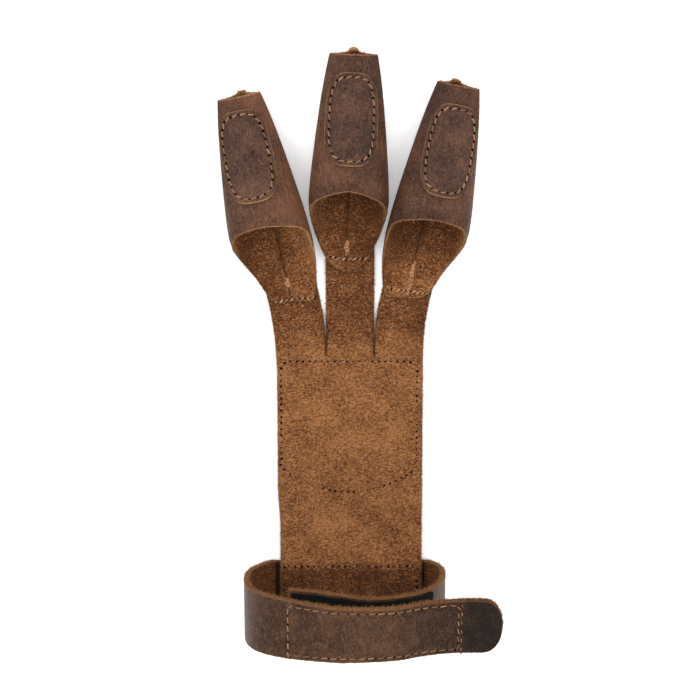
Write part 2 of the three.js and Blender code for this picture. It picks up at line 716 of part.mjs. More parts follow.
function strapPieces() {
  const curve = strapCurve();
  const length = curve.getLength();
  const roundedWidth = (distance) => {
    const share = Math.max(distance - (length - TAIL_ROUNDING), 0) / TAIL_ROUNDING;
    const narrowest = 0.02;
    return STRAP_WIDTH * Math.sqrt(Math.max(1 - share ** TAIL_ROUNDNESS, narrowest));
  };
  const tapeOffset = STRAP_THICKNESS / 2 + GAP + TAPE_THICKNESS / 2;
  const strap = strapStations(curve, 0, length - TAIL_ROUNDING, STRAP_STATIONS);
  const round = strapStations(curve, length - TAIL_ROUNDING, length, 8).slice(1);
  const hookEnd = length - HOOK_FROM_END;
  const hooks = strapStations(curve, hookEnd - HOOK_LENGTH, hookEnd, TAPE_STATIONS);
  const loops = strapStations(curve, LOOP_FROM_END, LOOP_FROM_END + LOOP_LENGTH, TAPE_STATIONS);
  const tapeWidth = () => TAPE_WIDTH;
  return [
    band('wrist_strap', [...strap, ...round], roundedWidth, 0, STRAP_THICKNESS, matt('#4d342a', 0.6)),
    band('hook_strip', hooks, tapeWidth, -tapeOffset, TAPE_THICKNESS, matt('#16130f', 0.9)),
    band('loop_strip', loops, tapeWidth, tapeOffset, TAPE_THICKNESS, matt('#16130f', 0.95)),
  ];
}

const glove = new THREE.Group();
glove.add(handPanel(), backPatch());
for (const finger of FINGERS) glove.add(stall(finger), pad(finger));
glove.add(...strapPieces());

export default glove;
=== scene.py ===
import math

import bmesh
import bpy
import numpy as np
from mathutils import Matrix, Vector, noise


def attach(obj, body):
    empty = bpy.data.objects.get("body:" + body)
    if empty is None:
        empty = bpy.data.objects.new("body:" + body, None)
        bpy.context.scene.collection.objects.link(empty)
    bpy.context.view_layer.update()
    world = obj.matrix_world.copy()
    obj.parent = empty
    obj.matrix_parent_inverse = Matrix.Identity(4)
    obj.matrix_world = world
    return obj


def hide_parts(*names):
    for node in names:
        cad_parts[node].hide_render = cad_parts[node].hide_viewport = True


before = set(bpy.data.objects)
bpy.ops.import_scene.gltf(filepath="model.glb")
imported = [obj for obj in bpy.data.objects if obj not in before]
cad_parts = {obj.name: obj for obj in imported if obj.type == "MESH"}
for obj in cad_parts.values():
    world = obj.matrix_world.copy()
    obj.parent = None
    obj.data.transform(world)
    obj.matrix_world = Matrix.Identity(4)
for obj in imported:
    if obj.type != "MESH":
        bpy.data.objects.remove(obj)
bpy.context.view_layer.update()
mm = 0.001

# Camera. It looks down on the lying glove from 14 degrees off straight above, on the
# fingertips' side, so that it sees into the strap's ring.
camera_distance = 900
camera_tilt = math.radians(14)
camera_aim = Vector((0, 31, 0)) * mm
sensor = 36
pixels_per_radian = 2250
picture = 700
camera_back = Vector((0, math.sin(camera_tilt), math.cos(camera_tilt)))
picture_up = Vector((0, math.cos(camera_tilt), -math.sin(camera_tilt)))
camera_turn = Matrix((Vector((1, 0, 0)), picture_up, camera_back)).transposed()
camera_data = bpy.data.cameras.new("camera")
camera_data.sensor_width = sensor
camera_data.lens = sensor * pixels_per_radian / picture
camera = bpy.data.objects.new("camera", camera_data)
bpy.context.scene.collection.objects.link(camera)
camera_place = Matrix.Translation(camera_aim + camera_back * camera_distance * mm)
camera.matrix_world = camera_place @ camera_turn.to_4x4()
bpy.context.scene.camera = camera

# Hand panel. One piece of suede cut as a trident, flesh side up, with a square end sewn
# over the strap. Its nap is short and mottled, its cut edges are fuzzy, and the slits
# between its three strips open from closed cuts.
panel_width = 58
panel_thickness = 1.8
slit_root = 30
middle_strip_width = 19
middle_strip_length = 47.2
strip_lean = math.radians(11.8)
strip_bend = 20
side_strips = {-1: {"early": 10, "length": 43.8}, 1: {"early": 1, "length": 36.4}}
clearance = 0.3
patch_length = 58
patch_thickness = 1.6
patch_inset = 0.4
patch_corner = 4
patch_arc_drop = 11.8
patch_arc_reach = 0.6
strap_width = 25
strap_thickness = 2
wrist_distance = 70
panel_dip = 1.1
panel_slope = 11
panel_taper = 0.8
taper_span = (-42, -25)
panel_lift = 0.15
half_panel = panel_width / 2
half_middle = middle_strip_width / 2
half_patch = half_panel - patch_inset


def ease(value, start, end):
    """0 before start, 1 after end and a smooth rise between them."""
    share = np.clip((value - start) / (end - start), 0, 1)
    return share * share * (3 - 2 * share)


def unit(vectors):
    length = np.linalg.norm(vectors, axis=-1, keepdims=True)
    return vectors / np.where(length > 0, length, 1)


def grain_noise(places, size, seed):
    """Smooth noise from -1 to 1 at places in millimetres, with features of one size."""
    shift = Vector((seed * 17.3, seed * 5.1, seed * 9.7))
    return np.array([noise.noise(Vector(place) / size + shift) for place in places])


def bent_edge(start, side, bend, distance):
    """Points on a strip's edge that bends outwards and then runs straight."""
    radius = bend / strip_lean
    turned = np.minimum(distance / bend, 1) * strip_lean
    rest = np.maximum(distance - bend, 0)
    x = start[0] + side * (radius * (1 - np.cos(turned)) + rest * np.sin(turned))
    y = start[1] + radius * np.sin(turned) + rest * np.cos(turned)
    return np.stack([x, y], axis=-1)


def outer_edge(side, distance):
    early = side_strips[side]["early"]
    start = (side * half_panel, slit_root - early)
    return bent_edge(start, side, strip_bend + early, distance)


def strip_heading(side):
    return np.array([side * math.sin(strip_lean), math.cos(strip_lean)])


def strip_edges(side, share):
    """Both edges of a strip at shares of the way from the slit's root to its end."""
    share = np.asarray(share, float)
    if side == 0:
        y = slit_root + middle_strip_length * share
        left = np.stack([np.full_like(y, -half_middle), y], axis=-1)
        return left, left * [-1, 1]
    row = side_strips[side]
    start = np.array([side * half_middle, slit_root])
    heading = strip_heading(side)
    bend_end = bent_edge(start, side, strip_bend, strip_bend)
    inner_length = strip_bend + (outer_edge(side, row["length"]) - bend_end) @ heading
    outer = outer_edge(side, row["early"] + (row["length"] - row["early"]) * share)
    inner = bent_edge(start, side, strip_bend, inner_length * share)
    return (outer, inner) if side < 0 else (inner, outer)


def panel_underside(y):
    """Height of the panel's underside: over the strap, over the patch, on the table."""
    strap_edge = -wrist_distance + strap_width / 2
    over_strap = strap_thickness + clearance
    over_patch = patch_thickness + clearance
    patch_end = patch_length / 2
    from_strap = ease(y, strap_edge + clearance, strap_edge + panel_slope)
    to_patch = ease(y, -patch_end - panel_slope, -patch_end - clearance)
    low = over_strap + (panel_dip - over_strap) * from_strap
    low = low + (over_patch - low) * to_patch
    return low * (1 - ease(y, patch_end + clearance, patch_end + 1.5 * panel_slope))


def grid_quads(rows, columns, first=0):
    """Quads of a grid of points stored row by row, anticlockwise where x follows the
    columns and y the rows."""
    row, column = np.meshgrid(np.arange(rows - 1), np.arange(columns - 1), indexing="ij")
    corner = (first + row * columns + column).ravel()
    return np.stack([corner, corner + 1, corner + columns + 1, corner + columns], axis=1)


def plain_object(name, vertices, edges, faces):
    mesh = bpy.data.meshes.new(name)
    mesh.from_pydata((np.asarray(vertices) * mm).tolist(), edges, faces)
    made = bpy.data.objects.new(name, mesh)
    bpy.context.scene.collection.objects.link(made)
    return made


def store(made, name, values):
    """Keeps a number or a place for each point of a mesh, for its material or node tree."""
    kind, field = ("FLOAT_VECTOR", "vector") if np.ndim(values) > 1 else ("FLOAT", "value")
    attribute = made.data.attributes.new(name, kind, "POINT")
    attribute.data.foreach_set(field, np.asarray(values, np.float32).ravel())


def mark(made, finishes, flat, tone, cut, fuzz):
    """Gives a mesh its finishes, and what they and the fibres read: each point's place in
    the flat hide, its tone, how near it is to a cut edge and how thick its fibres stand."""
    store(made, "flat", flat)
    for name, value in (("tone", tone), ("cut", cut), ("fuzz", fuzz)):
        store(made, name, np.zeros(len(made.data.vertices)) + value)
    for finish in finishes:
        made.data.materials.append(finish)
    made.data.polygons.foreach_set("use_smooth", np.ones(len(made.data.polygons), bool))


def rim_and_normals(middle, quads):
    """A sheet's rim as pairs of points, the normal at each point, and the way out over
    the rim."""
    corners = [middle[quads[:, k]] for k in range(4)]
    facing = np.cross(corners[2] - corners[0], corners[3] - corners[1])
    normals = np.zeros_like(middle)
    for k in range(4):
        np.add.at(normals, quads[:, k], facing)
    normals = unit(normals)
    sides = list(zip(quads.ravel().tolist(), np.roll(quads, -1, axis=1).ravel().tolist()))
    known = set(sides)
    rim = np.array([(a, b) for a, b in sides if (b, a) not in known])
    sideways = unit(np.cross(middle[rim[:, 1]] - middle[rim[:, 0]], normals[rim[:, 0]]))
    outward = np.zeros_like(middle)
    for k in range(2):
        np.add.at(outward, rim[:, k], sideways)
    return rim, normals, unit(outward)


def leather_sheet(name, middle, quads, thickness, flat, tone, relief, finishes, edge):
    """A closed sheet round its middle surface. flat is each point's place in the flat
    hide, tone lightens or darkens it, relief raises its front. finishes are the front's,
    the back's and the cut edge's. edge holds the edge's rounding, the size and depth of
    its roughness, and how thick the nap stands on the front and the back."""
    back_pattern, edge_pattern, rim_wear = 53, 20, 0.6
    middle = np.asarray(middle, float)
    count = len(middle)
    rim, normals, outward = rim_and_normals(middle, quads)
    rim_points = np.unique(rim)
    ring_of = np.full(count, -1)
    ring_of[rim_points] = np.arange(len(rim_points))
    half = thickness / 2
    inset = outward * edge["round"]
    vertices = [middle + normals * (half + relief)[:, None] - inset, middle - normals * half - inset]
    flats = [np.column_stack([flat, np.full(count, depth)]) for depth in (0, back_pattern)]
    cuts = [np.isin(np.arange(count), rim_points) * rim_wear] * 2
    rings = [rim_points]
    turns = np.radians([30, 60, 90])
    upper = [(edge["round"] * (math.sin(a) - 1), half - edge["round"] * (1 - math.cos(a))) for a in turns]
    profile = upper + [(0, 0)] + [(out, -up) for out, up in reversed(upper)]
    for row, (out, up) in enumerate(profile):
        at = middle[rim_points]
        reach = out + grain_noise(at + [0, 0, 3 * row], edge["size"], 1 + row) * edge["ragged"]
        rise = up + relief[rim_points] * (up > 0)
        at = at + outward[rim_points] * reach[:, None] + normals[rim_points] * rise[:, None]
        vertices.append(at)
        flats.append(np.column_stack([flat[rim_points], np.full(len(rim_points), edge_pattern - up)]))
        cuts.append(np.ones(len(rim_points)))
        rings.append(2 * count + row * len(rim_points) + np.arange(len(rim_points)))
    rings.append(rim_points + count)
    faces = [quads, quads[:, ::-1] + count]
    start, end = ring_of[rim[:, 0]], ring_of[rim[:, 1]]
    for above, below in zip(rings[:-1], rings[1:]):
        faces.append(np.stack([above[start], below[start], below[end], above[end]], axis=1))
    made = plain_object(name, np.concatenate(vertices), [], np.concatenate(faces).tolist())
    tones = np.concatenate([tone, tone] + [tone[rim_points]] * len(profile))
    cut = np.concatenate(cuts)
    naps = np.repeat([*edge.get("nap", (0, 0)), 0], [count, count, len(cut) - 2 * count])
    mark(made, finishes, np.concatenate(flats), tones, cut, np.maximum(naps, cut > 0.9))
    edge_faces = sum(len(part) for part in faces[2:])
    kinds = np.repeat([0, 1, 2], [len(quads), len(quads), edge_faces])
    made.data.polygons.foreach_set("material_index", kinds)
    return made


def colour(code):
    """A colour from its #rrggbb code as linear light."""
    parts = [int(code[k:k + 2], 16) / 255 for k in (1, 3, 5)]
    return [c / 12.92 if c <= 0.04045 else ((c + 0.055) / 1.055) ** 2.4 for c in parts] + [1]


def feed(tree, inputs, values):
    """Gives inputs their values, each a number, a colour or another node's socket."""
    for label, value in values.items():
        if isinstance(value, bpy.types.NodeSocket):
            tree.links.new(value, inputs[label])
        else:
            inputs[label].default_value = value


def add(tree, kind, inputs=None, **settings):
    """A new node with its settings and inputs."""
    made = tree.nodes.new(kind)
    for name, value in settings.items():
        setattr(made, name, value)
    feed(tree, made.inputs, inputs or {})
    return made


def out_of(tree, kind, inputs=None, **settings):
    """The first output of a new node."""
    return add(tree, kind, inputs, **settings).outputs[0]


def calculate(tree, operation, first, second=0.0, third=0.0):
    return out_of(tree, "ShaderNodeMath", {0: first, 1: second, 2: third}, operation=operation)


def times(tree, first, second, plus=0.0):
    return calculate(tree, "MULTIPLY_ADD", first, second, plus)


def vector(tree, *parts):
    return out_of(tree, "ShaderNodeCombineXYZ", dict(enumerate(parts)))


def between(tree, value, low, high):
    """0 below low, 1 above high, and straight between them."""
    return out_of(tree, "ShaderNodeMapRange", {"Value": value, "From Min": low, "From Max": high})


def mixed(tree, factor, first, second):
    return add(tree, "ShaderNodeMix", {0: factor, 6: first, 7: second}, data_type="RGBA").outputs[2]


def shaded(tree, level, low, high, codes):
    """From a dark over a middle to a light colour, as level rises through low and high."""
    dark, middle, light = (colour(code) for code in codes)
    base = mixed(tree, between(tree, level, *low), dark, middle)
    return mixed(tree, between(tree, level, *high), base, light)


def spread(tree, place, *sizes):
    """A place divided by one size, or by a size for each direction."""
    inputs = {0: place, 1: vector(tree, *(3 * sizes)[:3])}
    return out_of(tree, "ShaderNodeVectorMath", inputs, operation="DIVIDE")


def cloudy(tree, place, detail=3.0, roughness=0.6, scale=1.0):
    inputs = {"Vector": place, "Scale": scale, "Detail": detail, "Roughness": roughness}
    return out_of(tree, "ShaderNodeTexNoise", inputs)


def wander(tree, place, scale, detail, reach):
    """A place pushed about by broad noise, so that marks drawn there bend."""
    push = add(tree, "ShaderNodeTexNoise", {"Vector": place, "Scale": scale, "Detail": detail}).outputs[1]
    push = out_of(tree, "ShaderNodeVectorMath", {0: push, 1: (reach, reach, reach)}, operation="MULTIPLY")
    return out_of(tree, "ShaderNodeVectorMath", {0: place, 1: push}, operation="ADD")


def shader_group(name, inputs, draw):
    """A shader node group with named inputs, its outputs as draw gives them by name."""
    group = bpy.data.node_groups.new(name, "ShaderNodeTree")
    for label, value in inputs.items():
        kind = "NodeSocketVector" if value is None else "NodeSocketFloat"
        socket = group.interface.new_socket(label, in_out="INPUT", socket_type=kind)
        if value is not None:
            socket.default_value = value
    drawn = draw(group, group.nodes.new("NodeGroupInput").outputs)
    for label in drawn:
        group.interface.new_socket(label, in_out="OUTPUT", socket_type="NodeSocketFloat")
    feed(group, group.nodes.new("NodeGroupOutput").inputs, drawn)
    return group


def use_group(tree, group, inputs):
    return add(tree, "ShaderNodeGroup", inputs, node_tree=group).outputs


def new_material(name):
    material = bpy.data.materials.new(name)
    material.use_nodes = True
    tree = material.node_tree
    return material, tree, tree.nodes["Principled BSDF"]


def stored(tree, name):
    """The outputs that read what store() kept on a mesh."""
    return add(tree, "ShaderNodeAttribute", attribute_name=name).outputs


def bump(tree, shader, height, strength, depth):
    inputs = {"Height": height, "Strength": strength, "Distance": depth * mm}
    feed(tree, shader.inputs, {"Normal": out_of(tree, "ShaderNodeBump", inputs)})


def draw_nap(tree, given):
    """Short brushed nap: long flecks, finer ones between them and wide soft blotches."""
    bent = wander(tree, given["Place"], 0.35, 2.0, 1.6)
    width, length = given["Fleck Width"], given["Fleck Length"]
    fleck = cloudy(tree, spread(tree, bent, length, width, width), 2.0, 0.6)
    fine = cloudy(tree, spread(tree, bent, width), 2.0, 0.7, 2.2)
    blotch = cloudy(tree, spread(tree, given["Place"], given["Blotch Size"]), 3.0)
    return {"Fleck": fleck, "Fine": fine, "Blotch": blotch, "Height": times(tree, fine, 0.6, fleck)}


nap_inputs = {"Place": None, "Fleck Length": 0.9, "Fleck Width": 0.5, "Blotch Size": 9.0}
nap_group = shader_group("suede nap", nap_inputs, draw_nap)


def suede_finish(name, codes, fleck_size, depth):
    """Brushed flesh side: flecks of lit and shaded nap over soft blotches."""
    material, tree, shader = new_material(name)
    sizes = {"Fleck Length": 1.5 * fleck_size, "Fleck Width": fleck_size, "Blotch Size": 12.0}
    nap = use_group(tree, nap_group, {"Place": stored(tree, "flat")["Vector"], **sizes})
    level = times(tree, nap["Blotch"], 0.8, stored(tree, "tone")["Fac"])
    level = times(tree, nap["Fleck"], 2.1, level)
    level = times(tree, nap["Fine"], 2.0, level)
    look = {
        "Base Color": shaded(tree, level, (1.95, 2.45), (2.4, 3.0), codes), "Roughness": 0.95,
        "Specular IOR Level": 0.15, "Sheen Weight": 0.25, "Sheen Roughness": 0.5,
        "Sheen Tint": colour(codes[-1]),
    }
    feed(tree, shader.inputs, look)
    bump(tree, shader, nap["Height"], 0.9, depth)
    return material


def edge_finish(name, dark, light):
    """Raw cut edge: pale packed fibres with darker pits."""
    material, tree, shader = new_material(name)
    object_place = add(tree, "ShaderNodeTexCoord").outputs["Object"]
    fibres = cloudy(tree, spread(tree, object_place, 0.5 * mm, 0.5 * mm, 0.3 * mm), 4.0, 0.7)
    level = times(tree, stored(tree, "tone")["Fac"], 0.25, fibres)
    base = mixed(tree, between(tree, level, 0.38, 0.62), colour(dark), colour(light))
    feed(tree, shader.inputs, {"Base Color": base, "Roughness": 0.9, "Specular IOR Level": 0.2})
    bump(tree, shader, fibres, 1.0, 0.4)
    return material


panel_suede = suede_finish("panel suede", ("#2b1407", "#5f381e", "#9e6c43"), 0.62, 0.45)
suede_edge = edge_finish("suede cut edge", "#4a2b17", "#8a5c37")


def flat_noise(flat, size, seed):
    return grain_noise(np.column_stack([flat, np.zeros(len(flat))]), size, seed)


def rumple(flat):
    """The low waves in which the panel lies."""
    return 0.22 * flat_noise(flat, 16, 3)


def patch_outline(x, inset):
    """Lower and upper y of the patch's outline at x, set in from its edge."""
    rise = 1 - np.sqrt(1 - (patch_arc_reach * x / half_patch) ** 2)
    rise = rise / (1 - math.sqrt(1 - patch_arc_reach**2))
    from_corner = np.clip((np.abs(x) - half_patch + inset + patch_corner) / patch_corner, 0, 1)
    top = patch_length / 2 - inset - patch_corner * (1 - np.sqrt(1 - from_corner**2))
    return -patch_length / 2 + inset + patch_arc_drop * rise, top


def walk(points, step):
    """Points spaced evenly along a line of points."""
    points = np.asarray(points, float)
    lengths = np.linalg.norm(np.diff(points, axis=0), axis=1)
    done = np.concatenate([[0], np.cumsum(lengths)])
    places = np.linspace(0, done[-1], max(int(round(done[-1] / step)), 2) + 1)
    return np.stack([np.interp(places, done, points[:, k]) for k in range(points.shape[1])], axis=1)


def shield_seam():
    """The line that sews the patch to the panel, from its lower left corner round."""
    inset = 1.8
    half = half_patch - inset
    nearer_left = 0.8
    across = half * np.sin(np.linspace(-1, 1, 60) * math.pi / 2)
    low, high = patch_outline(across, inset)
    across = across - nearer_left * (across < 0) * np.abs(across / half)
    lower = np.column_stack([across, low])[::-1]
    upper = np.column_stack([across, high])
    return np.concatenate([upper, lower, upper[:1]])


def strap_seam():
    """The box seam that holds the panel's end on the strap."""
    half = half_panel - 1.9
    top = -wrist_distance + strap_width / 2 - 1.5
    low = -wrist_distance - strap_width / 2 + 2
    return np.array([[-half, low], [-half, top], [half, top], [half, low], [-half, low]])


def dent(places, line, width, depth):
    """How far points sink beside a sewn line."""
    line = walk(line, width / 2)
    nearest = np.full(len(places), np.inf)
    for start in range(0, len(line), 64):
        apart = places[:, None, :] - line[None, start:start + 64, :]
        nearest = np.minimum(nearest, np.linalg.norm(apart, axis=2).min(axis=1))
    return -depth * np.exp(-((nearest / width) ** 2))


def body_row(y, column):
    """A row of points over the panel's body, its ends on the outer edges."""
    ends = {}
    for side in (-1, 1):
        past = y - slit_root + side_strips[side]["early"]
        ends[side] = outer_edge(side, past) if past > 0 else np.array([side * half_panel, y])
    strip = np.minimum(column // strip_columns, 2)
    limits = np.array([ends[-1][0], -half_middle, half_middle, ends[1][0]])
    x = limits[strip] + (limits[strip + 1] - limits[strip]) * (column / strip_columns - strip)
    from_middle = column / strip_columns - 1.5
    end_y = np.where(from_middle < 0, ends[-1][1], ends[1][1])
    return np.stack([x, y + (end_y - y) * np.maximum(np.abs(from_middle) - 0.5, 0)], axis=1)


def panel_grid():
    """The panel's points in the flat and their quads: its body, then each strip."""
    column_count = 3 * strip_columns + 1
    body_y = np.linspace(panel_end, slit_root, body_rows)
    points = [np.concatenate([body_row(y, np.arange(column_count)) for y in body_y])]
    quads = [grid_quads(body_rows, column_count)]
    columns = np.arange(strip_columns + 1)
    for number, side in enumerate((-1, 0, 1)):
        left, right = strip_edges(side, np.arange(1, strip_rows + 1) / strip_rows)
        across = (columns / strip_columns)[None, :, None]
        first = sum(len(part) for part in points)
        points.append((left[:, None, :] + (right - left)[:, None, :] * across).reshape(-1, 2))
        root = (body_rows - 1) * column_count + number * strip_columns + columns
        above = first + columns
        quads.append(np.stack([root[:-1], root[1:], above[1:], above[:-1]], axis=1))
        quads.append(grid_quads(strip_rows, strip_columns + 1, first))
    return np.concatenate(points), np.concatenate(quads)


panel_end = -wrist_distance - strap_width / 2 + 0.5
body_rows, strip_rows, strip_columns = 190, 79, 32
panel_flat, panel_quads = panel_grid()
panel_x, panel_y = panel_flat.T
drawn_in = panel_taper * np.clip(-panel_x / half_panel, 0, 1) * (1 - ease(panel_y, *taper_span))
panel_height = panel_underside(panel_y) + panel_thickness / 2 + panel_lift
panel_middle = np.column_stack([panel_x + drawn_in, panel_y, panel_height + 0.5 * rumple(panel_flat)])
panel_relief = rumple(panel_flat) + 0.06 * flat_noise(panel_flat, 1.1, 5)
for seam in (shield_seam(), strap_seam()):
    panel_relief = panel_relief + dent(panel_flat, seam, 0.9, 0.3)
# Painted shade: the closed ends of the slits are darkened, as no light comes up through them, and the
# panel's end that lies inside the strap's ring is darkened. The panel is also darker towards the strips, and
# paler over the patch and where it is rubbed.
from_shield = np.hypot(panel_x / 24, (panel_y - 2) / 28)
from_slit = np.hypot(np.abs(panel_x) - half_middle, np.maximum(slit_root - panel_y, 0))
closed_slit_shade = np.exp(-((from_slit / 0.35) ** 2)) * (1 - ease(panel_y, 38, 48))
from_rubbed_spot = np.hypot((panel_x + 9) / 9, (panel_y + 40) / 9)
panel_tone = (
    0.12
    + 0.08 * np.exp(-(from_shield**2))
    + 0.2 * np.exp(-(from_rubbed_spot**2))
    - 0.22 * ease(panel_y, 30, 44)
    # painted shade inside the strap's ring
    - 0.4 * (1 - ease(panel_y, -62, -57))
    # painted shade along the closed ends of the slits
    - 0.9 * closed_slit_shade
)
panel_edge = {"round": 0.18, "size": 1.3, "ragged": 0.22, "nap": (0.06, 0)}
panel = leather_sheet(
    "panel_suede", panel_middle, panel_quads, panel_thickness, panel_flat, panel_tone,
    panel_relief, (panel_suede, panel_suede, suede_edge), panel_edge,
)
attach(panel, "root")
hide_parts("hand_panel")

# Back patch. A shield of the same waxed leather as the stalls, grain side out against
# the table, sewn on the panel's hidden face to stiffen the back of the hand.
def draw_grain(tree, given):
    """Pores, creases, blotches and scuffs of waxed leather."""
    bent = wander(tree, given["Place"], 0.22, 3.0, 4.5)
    inputs = {"Vector": spread(tree, bent, given["Pore Size"]), "Scale": 1.0}
    pores = out_of(tree, "ShaderNodeTexVoronoi", inputs)
    inputs = {"Vector": spread(tree, bent, given["Crease Size"]), "Scale": 1.0}
    creases = out_of(tree, "ShaderNodeTexVoronoi", inputs, feature="DISTANCE_TO_EDGE")
    blotch = cloudy(tree, spread(tree, given["Place"], given["Blotch Size"]), 4.0)
    worn_part = cloudy(tree, spread(tree, given["Place"], 5.0), 2.0)
    crease_line = times(tree, between(tree, creases, 0.09, 0.0), between(tree, worn_part, 0.42, 0.62))
    scuff_place = spread(tree, bent, 0.6, given["Scuff Length"], 3.0)
    scuffs = between(tree, cloudy(tree, scuff_place, 4.0, 0.7), 0.5, 0.68)
    fine = cloudy(tree, spread(tree, given["Place"], 0.9), 4.0, 0.75)
    height = times(tree, between(tree, pores, 0.15, 0.75), -0.55, fine)
    height = times(tree, crease_line, -0.7, height)
    return {"Pore": fine, "Crease": crease_line, "Blotch": blotch, "Scuff": scuffs, "Height": height}


def draw_wear(tree, given):
    """Where the grain is rubbed away beside a cut edge."""
    broken = cloudy(tree, spread(tree, given["Place"], given["Break Up"]), 3.0, 0.7)
    return {"Wear": between(tree, times(tree, broken, 0.9, given["Cut"]), 0.62, 1.15)}


grain_inputs = {"Place": None, "Pore Size": 0.8, "Crease Size": 1.7, "Blotch Size": 8.0, "Scuff Length": 3.5}
grain_group = shader_group("waxed grain", grain_inputs, draw_grain)
wear_group = shader_group("edge wear", {"Place": None, "Cut": 0.0, "Break Up": 1.5}, draw_wear)


def grain_finish(name, codes, worn, roughness):
    """Waxed pull-up leather: dark where the wax lies, lighter and redder where it has
    been bent or rubbed, with pale creases and worn edges."""
    material, tree, shader = new_material(name)
    flat, tone = stored(tree, "flat")["Vector"], stored(tree, "tone")["Fac"]
    grain = use_group(tree, grain_group, {"Place": flat})
    wear = use_group(tree, wear_group, {"Place": flat, "Cut": stored(tree, "cut")["Fac"]})["Wear"]
    level = times(tree, grain["Blotch"], 1.4, tone)
    level = times(tree, grain["Pore"], 2.6, level)
    base = shaded(tree, level, (1.45, 2.0), (1.95, 2.6), codes)
    scuff = times(tree, grain["Scuff"], between(tree, tone, -0.6, 0.3))
    for rubbed, strength in ((scuff, 0.75), (grain["Crease"], 0.22), (wear, 0.8)):
        base = mixed(tree, times(tree, rubbed, strength), base, colour(worn))
    rough = times(tree, grain["Blotch"], 0.25, roughness - 0.12)
    feed(tree, shader.inputs, {"Base Color": base, "Roughness": rough, "Specular IOR Level": 0.12})
    bump(tree, shader, grain["Height"], 0.5, 0.22)
    return material


stall_grain = grain_finish("stall leather", ("#24150f", "#452d22", "#633f2c"), "#7c543a", 0.46)
pad_grain = grain_finish("pad leather", ("#20140f", "#412b22", "#5f4132"), "#775440", 0.42)
strap_grain = grain_finish("strap leather", ("#140b06", "#382318", "#563b27"), "#735237", 0.46)
stall_flesh = suede_finish("stall flesh side", ("#3c1f0c", "#764a2a", "#b37d51"), 0.6, 0.35)
leather_edge = edge_finish("leather cut edge", "#5f3d24", "#a67a53")

patch_steps = 73
across = half_patch * np.sin(np.linspace(-1, 1, patch_steps) * math.pi / 2)
low, high = patch_outline(across, 0)
up_share = np.linspace(0, 1, patch_steps)[:, None]
patch_y = low + (high - low) * up_share
patch_flat = np.column_stack([np.tile(across, patch_steps), patch_y.ravel()])
patch_middle = np.column_stack([patch_flat, np.full(len(patch_flat), patch_thickness / 2)])
even = np.zeros(len(patch_flat))
patch = leather_sheet(
    "patch_leather", patch_middle, grid_quads(patch_steps, patch_steps), patch_thickness, patch_flat,
    even, even, (stall_flesh, stall_grain, leather_edge), {"round": 0.3, "size": 1.5, "ragged": 0.1},
)
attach(patch, "root")
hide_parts("back_patch")

# Finger stalls. Each is one piece of waxed leather rolled grain side out, its two edges
# turned outwards and sewn together as a fin along the hidden back. The mouth is cut
# obliquely and runs out into a tongue that is sewn on its strip of the panel.
stall_thickness = 1.6
stall_height = 20.6
tongue_lap = 13.5
fin_height = 3.2
fin_clearance = 1
back_descent = 0.3
# Each finger's side tone is painted light and shade: a positive one lightens the stall's right side and
# darkens its left, a negative one the reverse.
fingers = {
    "left": {
        "side": -1, "tip": 18.5, "mouth": 32.2, "length": 84, "lean": -12.3, "shift": 2.8, "twist": -7.5,
        "pad_from_tip": 5, "knob": 0.9, "tone": 0.02, "painted_side_light": 0.24, "stain": (2.6, -1),
    },
    "middle": {
        "side": 0, "tip": 20.7, "mouth": 31.6, "length": 86, "lean": 2, "shift": -1.6, "twist": 0,
        "pad_from_tip": 6.7, "knob": 2.2, "tone": -0.06, "painted_side_light": -0.12,
    },
    "right": {
        "side": 1, "tip": 18.1, "mouth": 32.2, "length": 86.5, "lean": 11.6, "shift": 2.4, "twist": 7.5,
        "pad_from_tip": 7, "knob": 1.8, "tone": -0.04, "painted_side_light": 0.12,
    },
}
# The stall's sections from its tip to the tongue's end. The width runs from the tip's
# to the mouth's, and crease is how sharply the sides are folded.
stall_sections = {
    "along": [0, 0.13, 0.27, 0.42, 0.58, 0.7, 0.8, 0.88, 1],
    "width": [0, 0.27, 0.5, 0.72, 0.92, 1, 1.04, 1.06, 1.08],
    "height": [0.29, 0.41, 0.55, 0.76, 0.98, 1, 0.86, 0.5, 0.1],
    "crease": [1.9, 1.75, 1.5, 1.25, 1.02, 1, 1, 1, 1],
}
# The mouth's edge by angle from the middle of the front, as shares of the length.
mouth_edge = {
    "turn": [0, 45, 80, 100, 120, 135, 150, 165, 180],
    "middle": [0.595, 0.635, 0.685, 0.72, 0.8, 0.875, 0.945, 0.985, 1],
    "inner": [0.59, 0.618, 0.66, 0.75, 0.86, 0.955, 1.018, 1.012, 1.003],
    "outer": [0.59, 0.613, 0.675, 0.72, 0.79, 0.862, 0.962, 0.998, 1.003],
}
# Degrees over which the mouth's edge is rounded at its middle.
mouth_rounding = 14


def table_curve(table, place_column, value_column):
    """A smooth curve through a table's rows that never runs past them."""
    places = np.array(table[place_column], float)
    values = np.array(table[value_column], float)
    steps = np.diff(places)
    chords = np.diff(values) / steps
    slopes = np.concatenate([chords[:1], np.zeros(len(values) - 2), chords[-1:]])
    product = chords[:-1] * chords[1:]
    total = np.where(product > 0, chords[:-1] + chords[1:], 1)
    slopes[1:-1] = np.where(product > 0, 2 * product / total, 0)

    def at(place):
        row = np.clip(np.searchsorted(places, place) - 1, 0, len(steps) - 1)
        t = np.clip((place - places[row]) / steps[row], 0, 1)
        straight = values[row] + (values[row + 1] - values[row]) * t
        rise = (slopes[row] - chords[row]) * steps[row] * t * (1 - t) ** 2
        return straight + rise - (slopes[row + 1] - chords[row]) * steps[row] * t * t * (1 - t)

    return at


section = {name: table_curve(stall_sections, "along", name) for name in ("width", "height", "crease")}
edge_curve = {name: table_curve(mouth_edge, "turn", name) for name in ("middle", "inner", "outer")}


